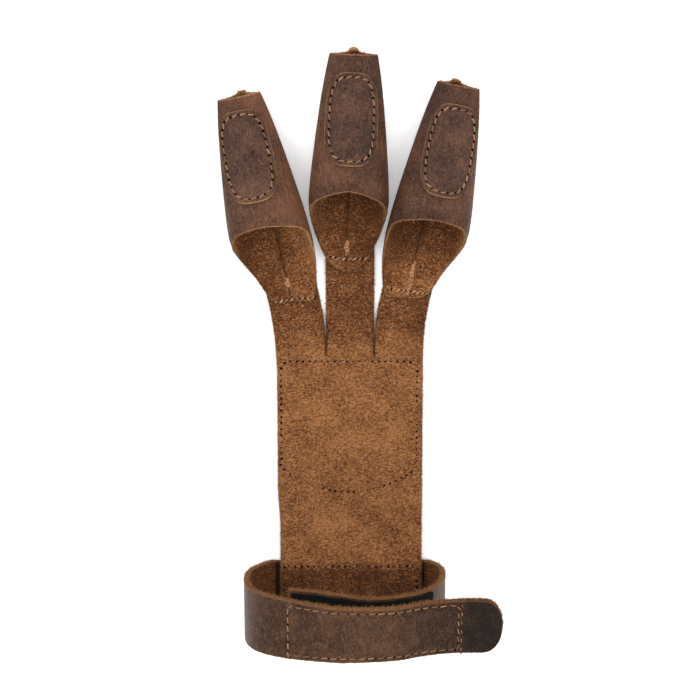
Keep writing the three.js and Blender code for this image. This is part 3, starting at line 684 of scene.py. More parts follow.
def stall_frame(finger):
    """The tip of a stall in plan, its direction and the direction across it."""
    side = finger["side"]
    left, right = strip_edges(side, 1.0)
    heading = strip_heading(side)
    outwards = np.array([heading[1], -heading[0]]) * (side or 1)
    lean = math.radians(finger["lean"])
    direction = np.array([math.sin(lean), math.cos(lean)])
    tongue_end = (left + right) / 2 - heading * tongue_lap + outwards * finger["shift"]
    across = np.array([direction[1], -direction[0]])
    return tongue_end + direction * finger["length"], direction, across


def stall_size(finger, distance):
    share = np.maximum(distance / finger["length"], 0)
    half_width = (finger["tip"] + (finger["mouth"] - finger["tip"]) * section["width"](share)) / 2
    half_height = stall_height * section["height"](share) / 2
    on_strip = panel_thickness + clearance
    descent = ease(share, back_descent, 1 - tongue_lap / finger["length"])
    back = fin_height + (on_strip - fin_height) * descent
    return half_width, half_height, section["crease"](share), back


def stall_section(finger, distance, angle, depth):
    """Across and up of a point on a stall at an angle from the top of its section."""
    half_width, half_height, crease, back = stall_size(finger, distance)
    corner = np.arctan2(2 * half_height, half_width)
    side_depth = depth * (1 + (crease - 1) * (1 / np.sin(corner) - 1))
    cosine = np.cos(angle)
    rise = np.sign(cosine) * np.abs(cosine) ** crease
    return (half_width - side_depth) * np.sin(angle), back + half_height + (half_height - depth) * rise


def stall_place(finger, distance, across, up):
    tip, direction, sideways = stall_frame(finger)
    plan = tip - direction * distance[..., None] + sideways * across[..., None]
    return np.concatenate([plan, up[..., None]], axis=-1)


def stall_point(finger, distance, angle, depth):
    distance, angle = np.broadcast_arrays(np.asarray(distance, float), angle)
    return stall_place(finger, distance, *stall_section(finger, distance, angle, depth))


def mouth_distance(finger, angle):
    """Distance from the tip of the mouth's edge at an angle from the front's middle."""
    turn = np.degrees(angle)
    side = np.sign(turn) * finger["side"]
    blunted = np.hypot(turn, mouth_rounding) - mouth_rounding * np.exp(-((turn / 40) ** 2))
    blunted = np.minimum(blunted, 180)
    choices = [edge_curve[name](blunted) for name in ("inner", "middle", "outer")]
    return np.choose((side + 1).astype(int), choices) * finger["length"]


def stall_middle(finger, turn, share, leg):
    """Points of a stall's middle surface. turn goes round from the seam, share from the
    tip to the mouth, and leg from 0 on the tube to 1 at the fin's raw edge."""
    half = stall_thickness / 2
    slit = half - 0.03
    fillet = 1.0
    bend_end = 0.45
    raw_edge_up = 0.2
    butt_gap = 0.02
    twist = math.radians(finger["twist"])
    length = finger["length"]
    fin_end = length - tongue_lap - fin_clearance
    side = np.where(turn < math.pi, -1.0, 1.0)
    from_seam = np.where(side < 0, turn, 2 * math.pi - turn)
    lip = 0.9 * np.exp(-((from_seam / 0.45) ** 2))
    start = -lip - 0.3 * np.sin(math.pi * 0.8 * leg)
    distance = start + (mouth_distance(finger, turn - math.pi) - start) * share
    half_width = stall_size(finger, distance)[0]
    foot = (slit + fillet) / half_width
    used = np.where(leg > 0, foot, np.maximum(from_seam, foot))
    angle = np.where(side < 0, used, 2 * math.pi - used) + math.pi + twist
    across, up = stall_section(finger, distance, angle, half)
    seam_across = stall_section(finger, distance, math.pi + twist, half)[0]
    bend_share = np.clip(leg / bend_end, 0, 1) * math.pi / 2
    straight = np.clip((leg - bend_end) / (1 - bend_end), 0, 1)
    fin_across = seam_across + side * (slit + fillet * (1 - np.sin(bend_share)))
    fin_up = up - fillet * (1 - np.cos(bend_share))
    fin_up = fin_up + (raw_edge_up - fin_up) * straight
    butt_across = across + (seam_across - side * butt_gap - across) * leg
    turned = 1 - ease(distance, fin_end - 5, fin_end)
    on_leg = leg > 0
    across = np.where(on_leg, butt_across + (fin_across - butt_across) * turned, across)
    up = np.where(on_leg, up + (fin_up - up) * turned, up)
    return stall_place(finger, distance, across, up), distance


def finger_stall(name, finger, seed):
    leg_steps, tube_steps, rows = 10, 112, 118
    legs = np.linspace(1, 0, leg_steps + 1)[:-1]
    tube = 0.5 - 0.5 * np.cos(np.linspace(0, math.pi, tube_steps))
    tube = 0.35 * tube + 0.65 * np.linspace(0, 1, tube_steps)
    turn = np.concatenate([np.zeros(leg_steps), tube * 2 * math.pi, np.full(leg_steps, 2 * math.pi)])
    leg = np.concatenate([legs, np.zeros(tube_steps), legs[::-1]])
    share = np.linspace(0, 1, rows)[:, None]
    middle, distance = stall_middle(finger, turn, share, leg)
    columns = len(turn)
    quads = grid_quads(rows, columns)[:, ::-1]
    half_width = stall_size(finger, distance)[0]
    from_front = turn - math.pi
    round_place = from_front * half_width * 0.85 + np.sign(from_front) * leg * (fin_height + 1)
    flat = np.stack([round_place + seed * 61, distance], axis=-1).reshape(-1, 2)
    middle = middle.reshape(-1, 3)
    from_mouth = np.repeat((1 - share) * finger["length"], columns)
    wave = grain_noise(middle, 11, seed) * 0.35 * ease(from_mouth, 2, 14)
    on_tube = np.broadcast_to(leg == 0, distance.shape).ravel()
    middle[:, 2] += np.where(on_tube & (middle[:, 2] > 8), wave, 0)
    # Painted light and shade: one side of each stall is lightened and the other darkened as the light falls
    # on them, and the lower sides are darkened with painted shade. The stall is also lighter and darker in
    # broad bands along it, and paler towards the mouth.
    tone = finger["tone"] + finger["painted_side_light"] * np.sin(from_front)
    tone = tone - 0.3 * ease(np.abs(from_front), 1.5, 2.2) + 0.12 * np.cos(distance / 9 + seed)
    tone = tone + 0.12 * ease(distance, 26, 4) * (finger["side"] < 0)
    tone = tone + 0.1 * ease(distance, finger["length"] - 22, finger["length"] - 12)
    edge = {"round": 0.4, "size": 1.4, "ragged": 0.09, "nap": (0, 0.05)}
    relief = -0.5 * (1 - ease(from_mouth, 0.5, 7))
    made = leather_sheet(
        f"stall_{name}_leather", middle, quads, stall_thickness, flat, tone.ravel(), relief,
        (stall_grain, stall_flesh, leather_edge), edge,
    )
    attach(made, "root")
    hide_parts(f"stall_{name}")
    return made


stalls = [finger_stall(name, finger, seed + 1) for seed, (name, finger) in enumerate(fingers.items())]
knob_width = 4.8
knob_height = 2.6


def seam_end(name, finger, seed):
    """The rounded end of the fin, where its two layers are pressed together at the tip."""
    rings, sides = 13, 24
    rise = np.linspace(0, math.pi / 2, rings)[:, None]
    turns = np.linspace(0, 2 * math.pi, sides, endpoint=False)
    twist = math.radians(finger["twist"])
    seam_across = stall_section(finger, np.zeros(1), math.pi + twist, stall_thickness / 2)[0]
    outwards = (finger["knob"] + 0.6) * np.sin(rise) + 0 * turns
    across = seam_across + knob_width / 2 * np.cos(rise) * np.cos(turns)
    up = knob_height / 2 * (1 + np.cos(rise) ** 0.8 * np.sin(turns)) + 0.2
    lumps = grain_noise(np.stack([across, outwards, up], axis=-1).reshape(-1, 3), 1.6, seed)
    lumps = lumps.reshape(across.shape)
    points = stall_place(finger, 0.6 - outwards - 0.18 * lumps, across * (1 + 0.02 * lumps), up)
    here = np.arange((rings - 1) * sides)
    after = here + np.where((here + 1) % sides == 0, 1 - sides, 1)
    faces = np.stack([here, here + sides, after + sides, after], axis=1).tolist() + [list(range(sides))]
    made = plain_object(f"seam_end_{name}", points.reshape(-1, 3), [], faces)
    welded = bmesh.new()
    welded.from_mesh(made.data)
    bmesh.ops.remove_doubles(welded, verts=welded.verts, dist=0.001 * mm)
    bmesh.ops.recalc_face_normals(welded, faces=welded.faces)
    welded.to_mesh(made.data)
    welded.free()
    place = np.array([vertex.co for vertex in made.data.vertices]) / mm
    mark(made, [leather_edge], place, 0.7 + 0.5 * grain_noise(place, 1.2, seed + 3), 1, 0.12)
    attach(made, "root")
    return made


seam_ends = [seam_end(name, finger, seed) for seed, (name, finger) in enumerate(fingers.items())]

# Pads. A second, darker piece of the same leather with round corners, sewn on the front
# of each stall where the bowstring runs. The seam pulls it down inside its pale cut edge.
pad_length = 35
pad_width = 20
pad_thickness = 1.4
pad_taper = 0.05
pad_power = 3.2
pad_lift = 0.12
pad_seam = 1.75
stain_size = 0.55


def pad_outline(x, y, inset):
    """Arc and distance from the pad's middle of a point given by shares of its shape."""
    half_width = pad_width / 2 - inset
    half_length = pad_length / 2 - inset
    arc = x * (1 - y * pad_taper) * half_width
    return arc, -y * half_length


def pad_skin(finger, along, arc, lift):
    """Points over a stall's front at an arc from its middle, lifted off the leather."""
    distance = finger["pad_from_tip"] + pad_length / 2 + np.asarray(along, float)
    arc = np.asarray(arc, float)
    steps = np.linspace(0, math.radians(110), 90)
    angles = math.radians(finger["twist"]) + np.sign(arc)[:, None] * steps
    path = stall_point(finger, distance[:, None], angles, 0)
    done = np.cumsum(np.linalg.norm(np.diff(path, axis=1), axis=2), axis=1)
    done = np.concatenate([np.zeros((len(arc), 1)), done], axis=1)
    turn = [np.interp(abs(a), row, steps) for a, row in zip(arc, done)]
    angle = math.radians(finger["twist"]) + np.sign(arc) * turn
    small = 0.02
    at = stall_point(finger, distance, angle, 0)
    before, after = (stall_point(finger, distance, angle + turn, 0) for turn in (-small, small))
    down = stall_point(finger, distance + small, angle, 0) - at
    normal = unit(np.cross(down, after - before))
    return at + normal * np.asarray(lift)[..., None], normal


def square_to_pad(u, v):
    """Spreads a square grid over the pad's rounded outline."""
    across = (1 - np.abs(v) ** pad_power / 2) ** (1 / pad_power)
    along = (1 - np.abs(u) ** pad_power / 2) ** (1 / pad_power)
    return u * across, v * along


def finger_pad(name, finger, seed):
    columns, rows = 49, 83
    v, u = np.meshgrid(np.linspace(-1, 1, rows), np.linspace(-1, 1, columns), indexing="ij")
    x, y = square_to_pad(u.ravel(), v.ravel())
    arc, along = pad_outline(x, y, 0)
    middle = pad_skin(finger, along, arc, np.full(len(arc), pad_lift + pad_thickness / 2))[0]
    reach = (np.abs(x) ** pad_power + np.abs(y) ** pad_power) ** (1 / pad_power)
    from_edge = (1 - reach) * pad_width / 2
    groove = -0.32 * np.exp(-(((from_edge - pad_seam) / 0.55) ** 2))
    crown = 0.25 * ease(from_edge, pad_seam, pad_seam + 3)
    flat = np.column_stack([arc + seed * 83, along])
    tone = 0.16 * grain_noise(middle, 9, seed) - 0.1
    tone = tone + 0.3 * ease(along, 6, 17) * (finger["side"] < 0)
    if "stain" in finger:
        from_stain = np.hypot(arc - finger["stain"][0], along - finger["stain"][1])
        tone = tone - 1.2 * np.exp(-((from_stain / stain_size) ** 2))
    made = leather_sheet(
        f"pad_{name}_leather", middle, grid_quads(rows, columns), pad_thickness, flat, tone,
        groove + crown, (pad_grain, stall_flesh, leather_edge),
        {"round": 0.35, "size": 1.5, "ragged": 0.06},
    )
    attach(made, "root")
    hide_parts(f"pad_{name}")


for seed, (name, finger) in enumerate(fingers.items()):
    finger_pad(name, finger, seed + 1)

# Wrist strap. A band of waxed leather sewn under the panel's lower end and bent up into
# a ring. Its rounded free end laps over its inner end, grain side out.
flat_past_panel = 2.2
ring_height = 44
bulge_left = 12.5
bulge_right = 8.2
tail_length = 32
tail_drop = 3
tail_tilt = math.radians(14)
lap_lift = math.radians(10)
tail_rounding = 8.5
tape_thickness = 1.5
tape_width = 22.4
hook_length = 70
hook_from_end = 17.5
loop_length = 58
loop_from_end = 1.5
# The route as shares: of the panel's half width, of the bulge beside it, of the height.
inner_route = {
    "edge": [-0.83, -0.5, -0.14, 0.275, 0.655, 0.965, 1, 1, 1, 1],
    "bulge": [0, 0, 0, 0, 0, 0, 0.63, 1, 0.95, 0.62],
    "up": [0.784, 0.83, 0.92, 1, 0.93, 0.8, 0.61, 0.41, 0.2, 0.068],
}
left_route = {
    "edge": [-1, -1, -1, -1, -1],
    "bulge": [0.46, 0.85, 1, 0.86, 0.44],
    "up": [0.08, 0.24, 0.45, 0.71, 0.89],
}
lap_openings = np.array([0.105, 0.125, 0.09, 0.01, 0.05, 0.095])
tail_route = {"along": [0.25, 0.5, 0.75, 1], "drop": [0.63, 0.96, 1, 0.9]}


def route_points(route, bulge):
    edge, out, up = (np.array(route[name], float) for name in ("edge", "bulge", "up"))
    return np.column_stack([half_panel * edge + np.sign(edge) * bulge * out, ring_height * up])


def smooth_line(points, per_span):
    """A centripetal curve through points."""
    ends = [2 * points[0] - points[1], *points, 2 * points[-1] - points[-2]]
    line = []
    for k in range(1, len(ends) - 2):
        p = ends[k - 1:k + 3]
        gaps = [max(np.linalg.norm(p[n + 1] - p[n]) ** 0.5, 1e-4) for n in range(3)]
        pull = []
        for n in (1, 2):
            before = (p[n] - p[n - 1]) / gaps[n - 1]
            after = (p[n + 1] - p[n]) / gaps[n]
            across = (p[n + 1] - p[n - 1]) / (gaps[n - 1] + gaps[n])
            pull.append((before + after - across) * gaps[1])
        for t in np.linspace(0, 1, per_span, endpoint=False):
            rise = (2 * t**3 - 3 * t**2 + 1) * p[1] + (t**3 - 2 * t**2 + t) * pull[0]
            line.append(rise + (3 * t**2 - 2 * t**3) * p[2] + (t**3 - t**2) * pull[1])
    return np.array(line + [points[-1]])


def strap_line():
    """The strap's middle line, seen along Y, from its inner end to its free end."""
    lap = strap_thickness + 2 * tape_thickness + 3 * clearance
    inner = route_points(inner_route, bulge_right)
    left = route_points(left_route, bulge_left)
    flat_end = half_panel + flat_past_panel
    flat = np.array([[flat_end * share, strap_thickness / 2] for share in (1, 0.5, 0, -0.5, -1)])
    lap_rise = lap + lap_openings * ring_height
    outer = inner[:len(lap_openings)] + np.column_stack([0 * lap_rise, lap_rise])
    along, drop = (np.array(tail_route[name]) for name in ("along", "drop"))
    tail = outer[-1] + np.column_stack([along * tail_length, -drop * tail_drop])
    line = smooth_line(np.concatenate([inner, flat, left, outer, tail]), 24)
    line[:, 1] = np.maximum(line[:, 1], strap_thickness / 2)
    return walk(line, 0.25)


strap_flesh = suede_finish("strap flesh side", ("#1a0b04", "#40210f", "#6f4426"), 0.6, 0.35)
strap_path = strap_line()
strap_steps = np.linalg.norm(np.diff(strap_path, axis=0), axis=1)
strap_done = np.concatenate([[0], np.cumsum(strap_steps)])
strap_length = strap_done[-1]
strap_tangent = unit(np.gradient(strap_path, axis=0))


def strap_place(distance, across, out):
    """Points on the strap at a distance along it, across it and out of its middle."""
    routes = (*strap_path.T, *strap_tangent.T)
    x, z, tangent_x, tangent_z = (np.interp(distance, strap_done, values) for values in routes)
    reach = np.clip((x + half_panel) / (2.35 * half_panel), 0, 1)
    high = ease(z, 0.2 * ring_height, 0.85 * ring_height)
    rise = ease(x, -1.25 * half_panel, -0.2 * half_panel)
    fall = ease(x, 0.2 * half_panel, 1.6 * half_panel)
    lift = lap_lift * rise * (1 - fall) * high * (distance > strap_length / 2)
    tilt = tail_tilt * reach**2 * high + lift
    y = -wrist_distance + across * np.cos(tilt)
    z = z + tangent_x * out + across * np.sin(tilt) + strap_width / 2 * np.sin(lift)
    return np.stack([x - tangent_z * out, y, z], axis=-1)


def strap_up(distance):
    """The direction out of the strap's outer face."""
    still = np.zeros_like(distance)
    across = strap_place(distance, still + 1, 0) - strap_place(distance, still, 0)
    along = strap_place(distance + 0.2, still, 0) - strap_place(distance - 0.2, still, 0)
    return unit(np.cross(along, across))


def strap_width_at(distance):
    share = np.maximum(distance - (strap_length - tail_rounding), 0) / tail_rounding
    return strap_width * np.sqrt(np.maximum(1 - share**2.4, 0.012))


def tape_seam(start, end):
    """The rectangle sewn round a tape, in distances across and along the strap."""
    low = 1.7 - strap_width / 2
    high = strap_width / 2 - 2.4
    return np.array([[low, start], [high, start], [high, end], [low, end], [low, start]])


hook_end = strap_length - hook_from_end
hook_start = hook_end - hook_length
outer_seam = tape_seam(hook_start + 1.6, hook_end)
# Painted shadow: the strap's inside is darkened in the narrow grooves beside the panel's edges.
painted_groove_shadows = [
    strap_done[np.argmin(np.hypot(strap_path[:, 0] - x, strap_path[:, 1] - strap_thickness / 2))]
    for x in (-half_panel - 0.7, half_panel + 0.7)
]


def strap_tone(along):
    tail = 0.35 * ease(along, hook_end - 40, hook_end) + 0.65 * ease(along, hook_end, hook_end + 5)
    tone = 0.02 - 0.62 * tail + 0.1 * np.cos(along / 13)
    # painted shadow in the grooves beside the panel's edges
    for groove_shadow in painted_groove_shadows:
        tone = tone - 2 * np.exp(-(((along - groove_shadow) / 0.55) ** 2))
    return tone


strap_rows = int(strap_length / 0.8)
strap_columns = 35
along = np.linspace(0, strap_length, strap_rows)
squeeze = 0.25 * ease(along, strap_length - 2 * tail_rounding, strap_length)
along = along + (strap_length - along) * squeeze * np.linspace(0, 1, strap_rows)
across = np.outer(strap_width_at(along) / 2, np.linspace(-1, 1, strap_columns)).ravel()
along = np.repeat(along, strap_columns)
strap_flat = np.column_stack([across, along])
strap = leather_sheet(
    "strap_leather", strap_place(along, across, 0), grid_quads(strap_rows, strap_columns)[:, ::-1],
    strap_thickness, strap_flat[:, ::-1], strap_tone(along), dent(strap_flat, outer_seam, 0.9, 0.28),
    (strap_grain, strap_flesh, suede_edge), {"round": 0.4, "size": 1.0, "ragged": 0.25, "nap": (0, 0.08)},
)
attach(strap, "root")
# The strap's lower edge is shorn closer than its upper one.
strap_y = np.array([vertex.co.y for vertex in strap.data.vertices]) / mm
shorn = 0.8 * ease(-strap_y, wrist_distance - 4, wrist_distance + 4)
strap_fuzz = np.zeros(len(strap_y))
fuzz_kept = strap.data.attributes["fuzz"].data
fuzz_kept.foreach_get("value", strap_fuzz)
fuzz_kept.foreach_set("value", (strap_fuzz * (1 - shorn)).astype(np.float32))
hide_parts("wrist_strap")

# Hook and loop tapes. Black nylon, the hooks sewn inside the strap's free end and the
# loops outside its inner end, where the two laps grip each other.
tape_body = 1.0
tape_out = strap_thickness / 2 + 0.05 + tape_body / 2
nylon, tree, shader = new_material("black nylon")
weave = cloudy(tree, add(tree, "ShaderNodeTexCoord").outputs["Object"], 2.0, 0.6, 900.0)
black = mixed(tree, weave, colour("#040404"), colour("#0e0e11"))
feed(tree, shader.inputs, {"Base Color": black, "Roughness": 0.9, "Specular IOR Level": 0.15})
bump(tree, shader, weave, 0.8, 0.3)


def geometry_steps(name, kinds, grow):
    """A Geometry Nodes tree and its inputs' identifiers by name. grow adds the steps from
    the geometry that is given to the one that comes out."""
    tree = bpy.data.node_groups.new(name, "GeometryNodeTree")
    tree.interface.new_socket("Geometry", in_out="INPUT", socket_type="NodeSocketGeometry")
    tree.interface.new_socket("Geometry", in_out="OUTPUT", socket_type="NodeSocketGeometry")
    identifiers = {}
    for kind, labels in kinds.items():
        for label in labels:
            socket = tree.interface.new_socket(label, in_out="INPUT", socket_type="NodeSocket" + kind)
            identifiers[label] = socket.identifier
    grown_geometry = grow(tree, tree.nodes.new("NodeGroupInput").outputs)
    tree.links.new(grown_geometry, tree.nodes.new("NodeGroupOutput").inputs[0])
    return tree, identifiers


def kept(tree, name, kind="FLOAT"):
    """What store() kept on the geometry."""
    return out_of(tree, "GeometryNodeInputNamedAttribute", {"Name": name}, data_type=kind)


def keep(tree, geometry, name, value, domain):
    inputs = {"Geometry": geometry, "Name": name, "Value": value}
    return out_of(tree, "GeometryNodeStoreNamedAttribute", inputs, domain=domain, data_type="FLOAT")


def line_of(tree, given):
    return out_of(tree, "GeometryNodeMeshToCurve", {0: given["Geometry"]})


def swept(tree, path, outline, capped=True):
    inputs = {"Curve": path, "Profile Curve": outline, "Fill Caps": capped}
    return out_of(tree, "GeometryNodeCurveToMesh", inputs)


def as_mesh(tree, geometry, material):
    """Instances as plain mesh in one material."""
    geometry = out_of(tree, "GeometryNodeRealizeInstances", {0: geometry})
    return out_of(tree, "GeometryNodeSetMaterial", {0: geometry, "Material": material})


def grown(name, source, steps, values):
    """The plain mesh that a node tree makes from a source object."""
    tree, identifiers = steps
    modifier = source.modifiers.new("grow", "NODES")
    modifier.node_group = tree
    for label, value in values.items():
        modifier[identifiers[label]] = value
    graph = bpy.context.evaluated_depsgraph_get()
    mesh = bpy.data.meshes.new_from_object(source.evaluated_get(graph), depsgraph=graph)
    source.modifiers.remove(modifier)
    bpy.data.objects.remove(source)
    mesh.name = name
    made = bpy.data.objects.new(name, mesh)
    bpy.context.scene.collection.objects.link(made)
    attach(made, "root")
    return made


def guide(points, ups):
    """A line of points for a node tree to follow, with the direction up at each."""
    line = plain_object("guide", points, [(k, k + 1) for k in range(len(points) - 1)], [])
    store(line, "up", ups)
    return line


def grow_tape(tree, given):
    """A flat band with rounded edges along a line."""
    inputs = {"Curve": line_of(tree, given), "Normal": kept(tree, "up", "FLOAT_VECTOR")}
    path = out_of(tree, "GeometryNodeSetCurveNormal", inputs, mode="FREE")
    inputs = {"Width": given["Thickness"], "Height": given["Width"]}
    outline = out_of(tree, "GeometryNodeCurvePrimitiveQuadrilateral", inputs)
    inputs = {"Curve": outline, "Radius": given["Rounding"], "Count": 2}
    outline = out_of(tree, "GeometryNodeFilletCurve", inputs, mode="POLY")
    body = keep(tree, swept(tree, path, outline), "fuzz", 1.0, "POINT")
    return as_mesh(tree, body, given["Tape Material"])


tape_inputs = {"Float": ["Width", "Thickness", "Rounding"], "Material": ["Tape Material"]}
tape_steps = geometry_steps("woven tape", tape_inputs, grow_tape)


def tape(name, node, start, length, out):
    """A tape's backing along the strap, its middle standing off the strap's own by out.
    Its hooks or loops fill the rest of its thickness."""
    along = np.linspace(start, start + length, int(length))
    line = guide(strap_place(along, np.zeros(len(along)), out), strap_up(along))
    sizes = {"Width": tape_width * mm, "Thickness": tape_body * mm, "Rounding": 0.2 * mm}
    made = grown(name, line, tape_steps, {**sizes, "Tape Material": nylon})
    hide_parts(node)
    return made


hook_tape = tape("hook_tape", "hook_strip", hook_start, hook_length, -tape_out)
loop_tape = tape("loop_tape", "loop_strip", loop_from_end, loop_length, tape_out)

# Sewing. Tan waxed thread in a lock stitch: each stitch lies between two needle holes that stay open, each
# drawn as a flat dark disc of painted shade, and sinks into the leather at both ends.


def strand_finish(name, dark, light, grain_scale):
    """Thread or a raised fibre, each stitch or fibre in its own shade."""
    material, tree, shader = new_material(name)
    twist = cloudy(tree, add(tree, "ShaderNodeTexCoord").outputs["Object"], 2.0, 0.6, grain_scale)
    level = times(tree, twist, 0.8, stored(tree, "shade")["Fac"])
    base = mixed(tree, between(tree, level, 0.1, 1.5), colour(dark), colour(light))
    feed(tree, shader.inputs, {"Base Color": base, "Roughness": 0.8, "Specular IOR Level": 0.2})
    bump(tree, shader, twist, 0.6, 0.2)
    return material


tan_thread = strand_finish("tan thread", "#52382a", "#9c7754", 2500.0)
grey_thread = strand_finish("grey thread", "#452d20", "#8d715b", 2500.0)
pale_thread = strand_finish("pale thread", "#664a36", "#b3937a", 2500.0)
# painted shade: a near-black flat disc stands for the shadow inside each needle hole
painted_hole_shade, tree, shader = new_material("needle hole")
feed(tree, shader.inputs, {"Base Color": colour("#0b0604"), "Roughness": 1, "Specular IOR Level": 0})


def random_number(tree, given, low, high, draw):
    """A number for each copy, its draws kept apart by their own seeds."""
    inputs = {2: low, 3: high, "Seed": calculate(tree, "ADD", given["Seed"], draw)}
    return add(tree, "FunctionNodeRandomValue", inputs, data_type="FLOAT").outputs[1]


def arched(tree, start, middle, end, resolution):
    inputs = {"Resolution": resolution, "Start": start, "Middle": middle, "End": end}
    return out_of(tree, "GeometryNodeCurveQuadraticBezier", inputs)


def circle(tree, radius, resolution):
    inputs = {"Resolution": resolution, "Radius": radius}
    return out_of(tree, "GeometryNodeCurvePrimitiveCircle", inputs)


def turned(tree, rotation, *angles):
    """A rotation turned further about its own axes."""
    inputs = {0: rotation, 1: out_of(tree, "FunctionNodeEulerToRotation", {0: vector(tree, *angles)})}
    return out_of(tree, "FunctionNodeRotateRotation", inputs, rotation_space="LOCAL")


def copies(tree, points, form, rotation, size):
    inputs = {"Points": points, "Instance": form, "Rotation": rotation, "Scale": size}
    return out_of(tree, "GeometryNodeInstanceOnPoints", inputs)


def grow_stitches(tree, given):
    """An arched thread at each step of a line, and a dark disc of painted shade for a needle hole between
    each two.
    """
    path = {"Curve": line_of(tree, given), "Length": given["Pitch"]}
    path = out_of(tree, "GeometryNodeResampleCurve", path, mode="LENGTH")
    inputs = {0: kept(tree, "up", "FLOAT_VECTOR"), 1: out_of(tree, "GeometryNodeInputTangent")}
    facing = out_of(tree, "FunctionNodeAxesToRotation", inputs, primary_axis="Z", secondary_axis="X")
    half_stitch = times(tree, calculate(tree, "SUBTRACT", given["Pitch"], given["Gap"]), 0.5)
    sunk = times(tree, given["Thread"], -0.9)
    start, end = (vector(tree, times(tree, half_stitch, way), 0.0, sunk) for way in (-1.0, 1.0))
    arch = arched(tree, start, vector(tree, 0.0, 0.0, given["Rise"]), end, 7)
    stitch = swept(tree, arch, circle(tree, given["Thread"], 7))
    slant = times(tree, random_number(tree, given, 0.6, 1.4, 0), given["Slant"])
    smallest = calculate(tree, "SUBTRACT", 1.0, given["Uneven"])
    size = random_number(tree, given, smallest, 1.05, 2)
    threads = copies(tree, path, stitch, turned(tree, facing, 0.0, 0.0, slant), size)
    threads = keep(tree, threads, "shade", random_number(tree, given, 0.0, 1.0, 1), "INSTANCE")
    threads = as_mesh(tree, threads, given["Thread Material"])
    threads = out_of(tree, "GeometryNodeSetShadeSmooth", {0: threads})
    inputs = {"Vertices": 10, "Radius": given["Hole"]}
    hole = out_of(tree, "GeometryNodeMeshCircle", inputs, fill_type="NGON")
    hole_place = vector(tree, times(tree, given["Pitch"], 0.5), 0.0, 0.06 * mm)
    hole = out_of(tree, "GeometryNodeTransform", {0: hole, "Translation": hole_place})
    holes = copies(tree, path, hole, facing, random_number(tree, given, smallest, 1.05, 3))
    holes = as_mesh(tree, holes, given["Hole Material"])
    both = tree.nodes.new("GeometryNodeJoinGeometry")
    for part in (threads, holes):
        tree.links.new(part, both.inputs[0])
    return both.outputs[0]


stitch_sizes = ["Pitch", "Gap", "Thread", "Rise", "Hole"]
stitch_inputs = {
    "Float": [*stitch_sizes, "Slant", "Uneven"], "Int": ["Seed"],
    "Material": ["Thread Material", "Hole Material"],
}
stitch_steps = geometry_steps("lock stitch", stitch_inputs, grow_stitches)


def sew(name, points, ups, look, seed):
    """One row of stitches along points, standing off the leather along ups."""
    values = {size: look[size.lower()] * mm for size in stitch_sizes}
    values.update({"Slant": look["slant"], "Uneven": look["uneven"], "Seed": seed})
    values.update({"Thread Material": look["material"], "Hole Material": painted_hole_shade})
    made = grown(name, guide(points, ups), stitch_steps, values)


def straight_up(points):
    return np.tile([0, 0, 1], (len(points), 1))


pad_look = {
    "pitch": 3.15, "gap": 0.95, "thread": 0.32, "rise": 0.34, "slant": 0.28, "hole": 0.5, "uneven": 0.15,
    "material": tan_thread,
}
for seed, (name, finger) in enumerate(fingers.items()):
    turns = np.linspace(0, 2 * math.pi, 160)
    x = np.sign(np.cos(turns)) * np.abs(np.cos(turns)) ** (2 / pad_power)
    y = np.sign(np.sin(turns)) * np.abs(np.sin(turns)) ** (2 / pad_power)
    arc, along = pad_outline(x, y, pad_seam)
    lift = np.full(len(arc), pad_lift + pad_thickness - 0.13)
    points, normals = pad_skin(finger, along, arc, lift)
    sew(f"pad_{name}_stitches", points, normals, pad_look, seed)

seam_look = {
    "pitch": 2.5, "gap": 1.2, "thread": 0.2, "rise": 0.12, "slant": 0.3, "hole": 0.5, "uneven": 0.5,
    "material": grey_thread,
}
for name, seam, seed in (("shield", shield_seam(), 11), ("strap_end", strap_seam(), 12)):
    line = walk(seam, 0.8)
    surface = panel_underside(line[:, 1]) + panel_thickness + panel_lift + 1.5 * rumple(line)
    points = np.column_stack([line, surface - 0.15])
    sew(f"{name}_stitches", points, straight_up(points), seam_look, seed)


def stall_inside(finger, distance, across):
    """Points on a tongue's or a stall's inner face at distances across its seam."""
    half_width = stall_size(finger, distance)[0]
    twist = math.radians(finger["twist"])
    angle = math.pi + twist - np.arcsin(np.clip(across / half_width, -0.99, 0.99))
    return stall_point(finger, distance, angle, stall_thickness)


def tongue_line(finger, corners):
    """A sewn line over a tongue, its corners given as across the seam and from the
    tongue's end."""
    line = walk(corners, 0.5)
    distance = finger["length"] - line[:, 1]
    points = stall_inside(finger, distance, line[:, 0])
    points[:, 2] += 0.1
    return points


tongue_look = {
    "pitch": 1.9, "gap": 0.5, "thread": 0.34, "rise": 0.45, "slant": 0.6, "hole": 0.45, "uneven": 0.5,
    "material": pale_thread,
}
faint_look = {
    "pitch": 2.2, "gap": 1.2, "thread": 0.2, "rise": 0.25, "slant": 0.6, "hole": 0.4, "uneven": 0.9,
    "material": grey_thread,
}
tongue_rows = {
    "left": [[-6.6, 0.9], [0, 0.6], [10.2, -0.5]],
    "middle": [[-8.2, 5.8], [0, 4.8], [8.4, 5.4]],
    "right": [[-8.8, 2.2], [0, 2.4], [8.4, 2.9]],
}
faint_rows = {
    "left": [[-6, 13.4], [7.4, 14.4], [9.6, 8], [10, 2]],
    "middle": [[-8.4, 6.4], [-8.8, 12]],
    "right": [[4, 12.8], [-8, 13.4], [-8.8, 8], [-9, 3.4]],
}
for seed, (name, finger) in enumerate(fingers.items()):
    for kind, rows, look in (("row", tongue_rows, tongue_look), ("box", faint_rows, faint_look)):
        points = tongue_line(finger, np.array(rows[name], float))
        sew(f"tongue_{name}_{kind}", points, straight_up(points), look, 21 + seed)

ridge_spans = {"left": (5.5, 9.5), "middle": (6.4, 12.6), "right": (0.4, 15)}
ridge_width = 2.2
ridge_height = 0.55
ridge_suede = suede_finish("seam ridge", ("#54331d", "#8e5f3f", "#c08c66"), 0.6, 0.35)


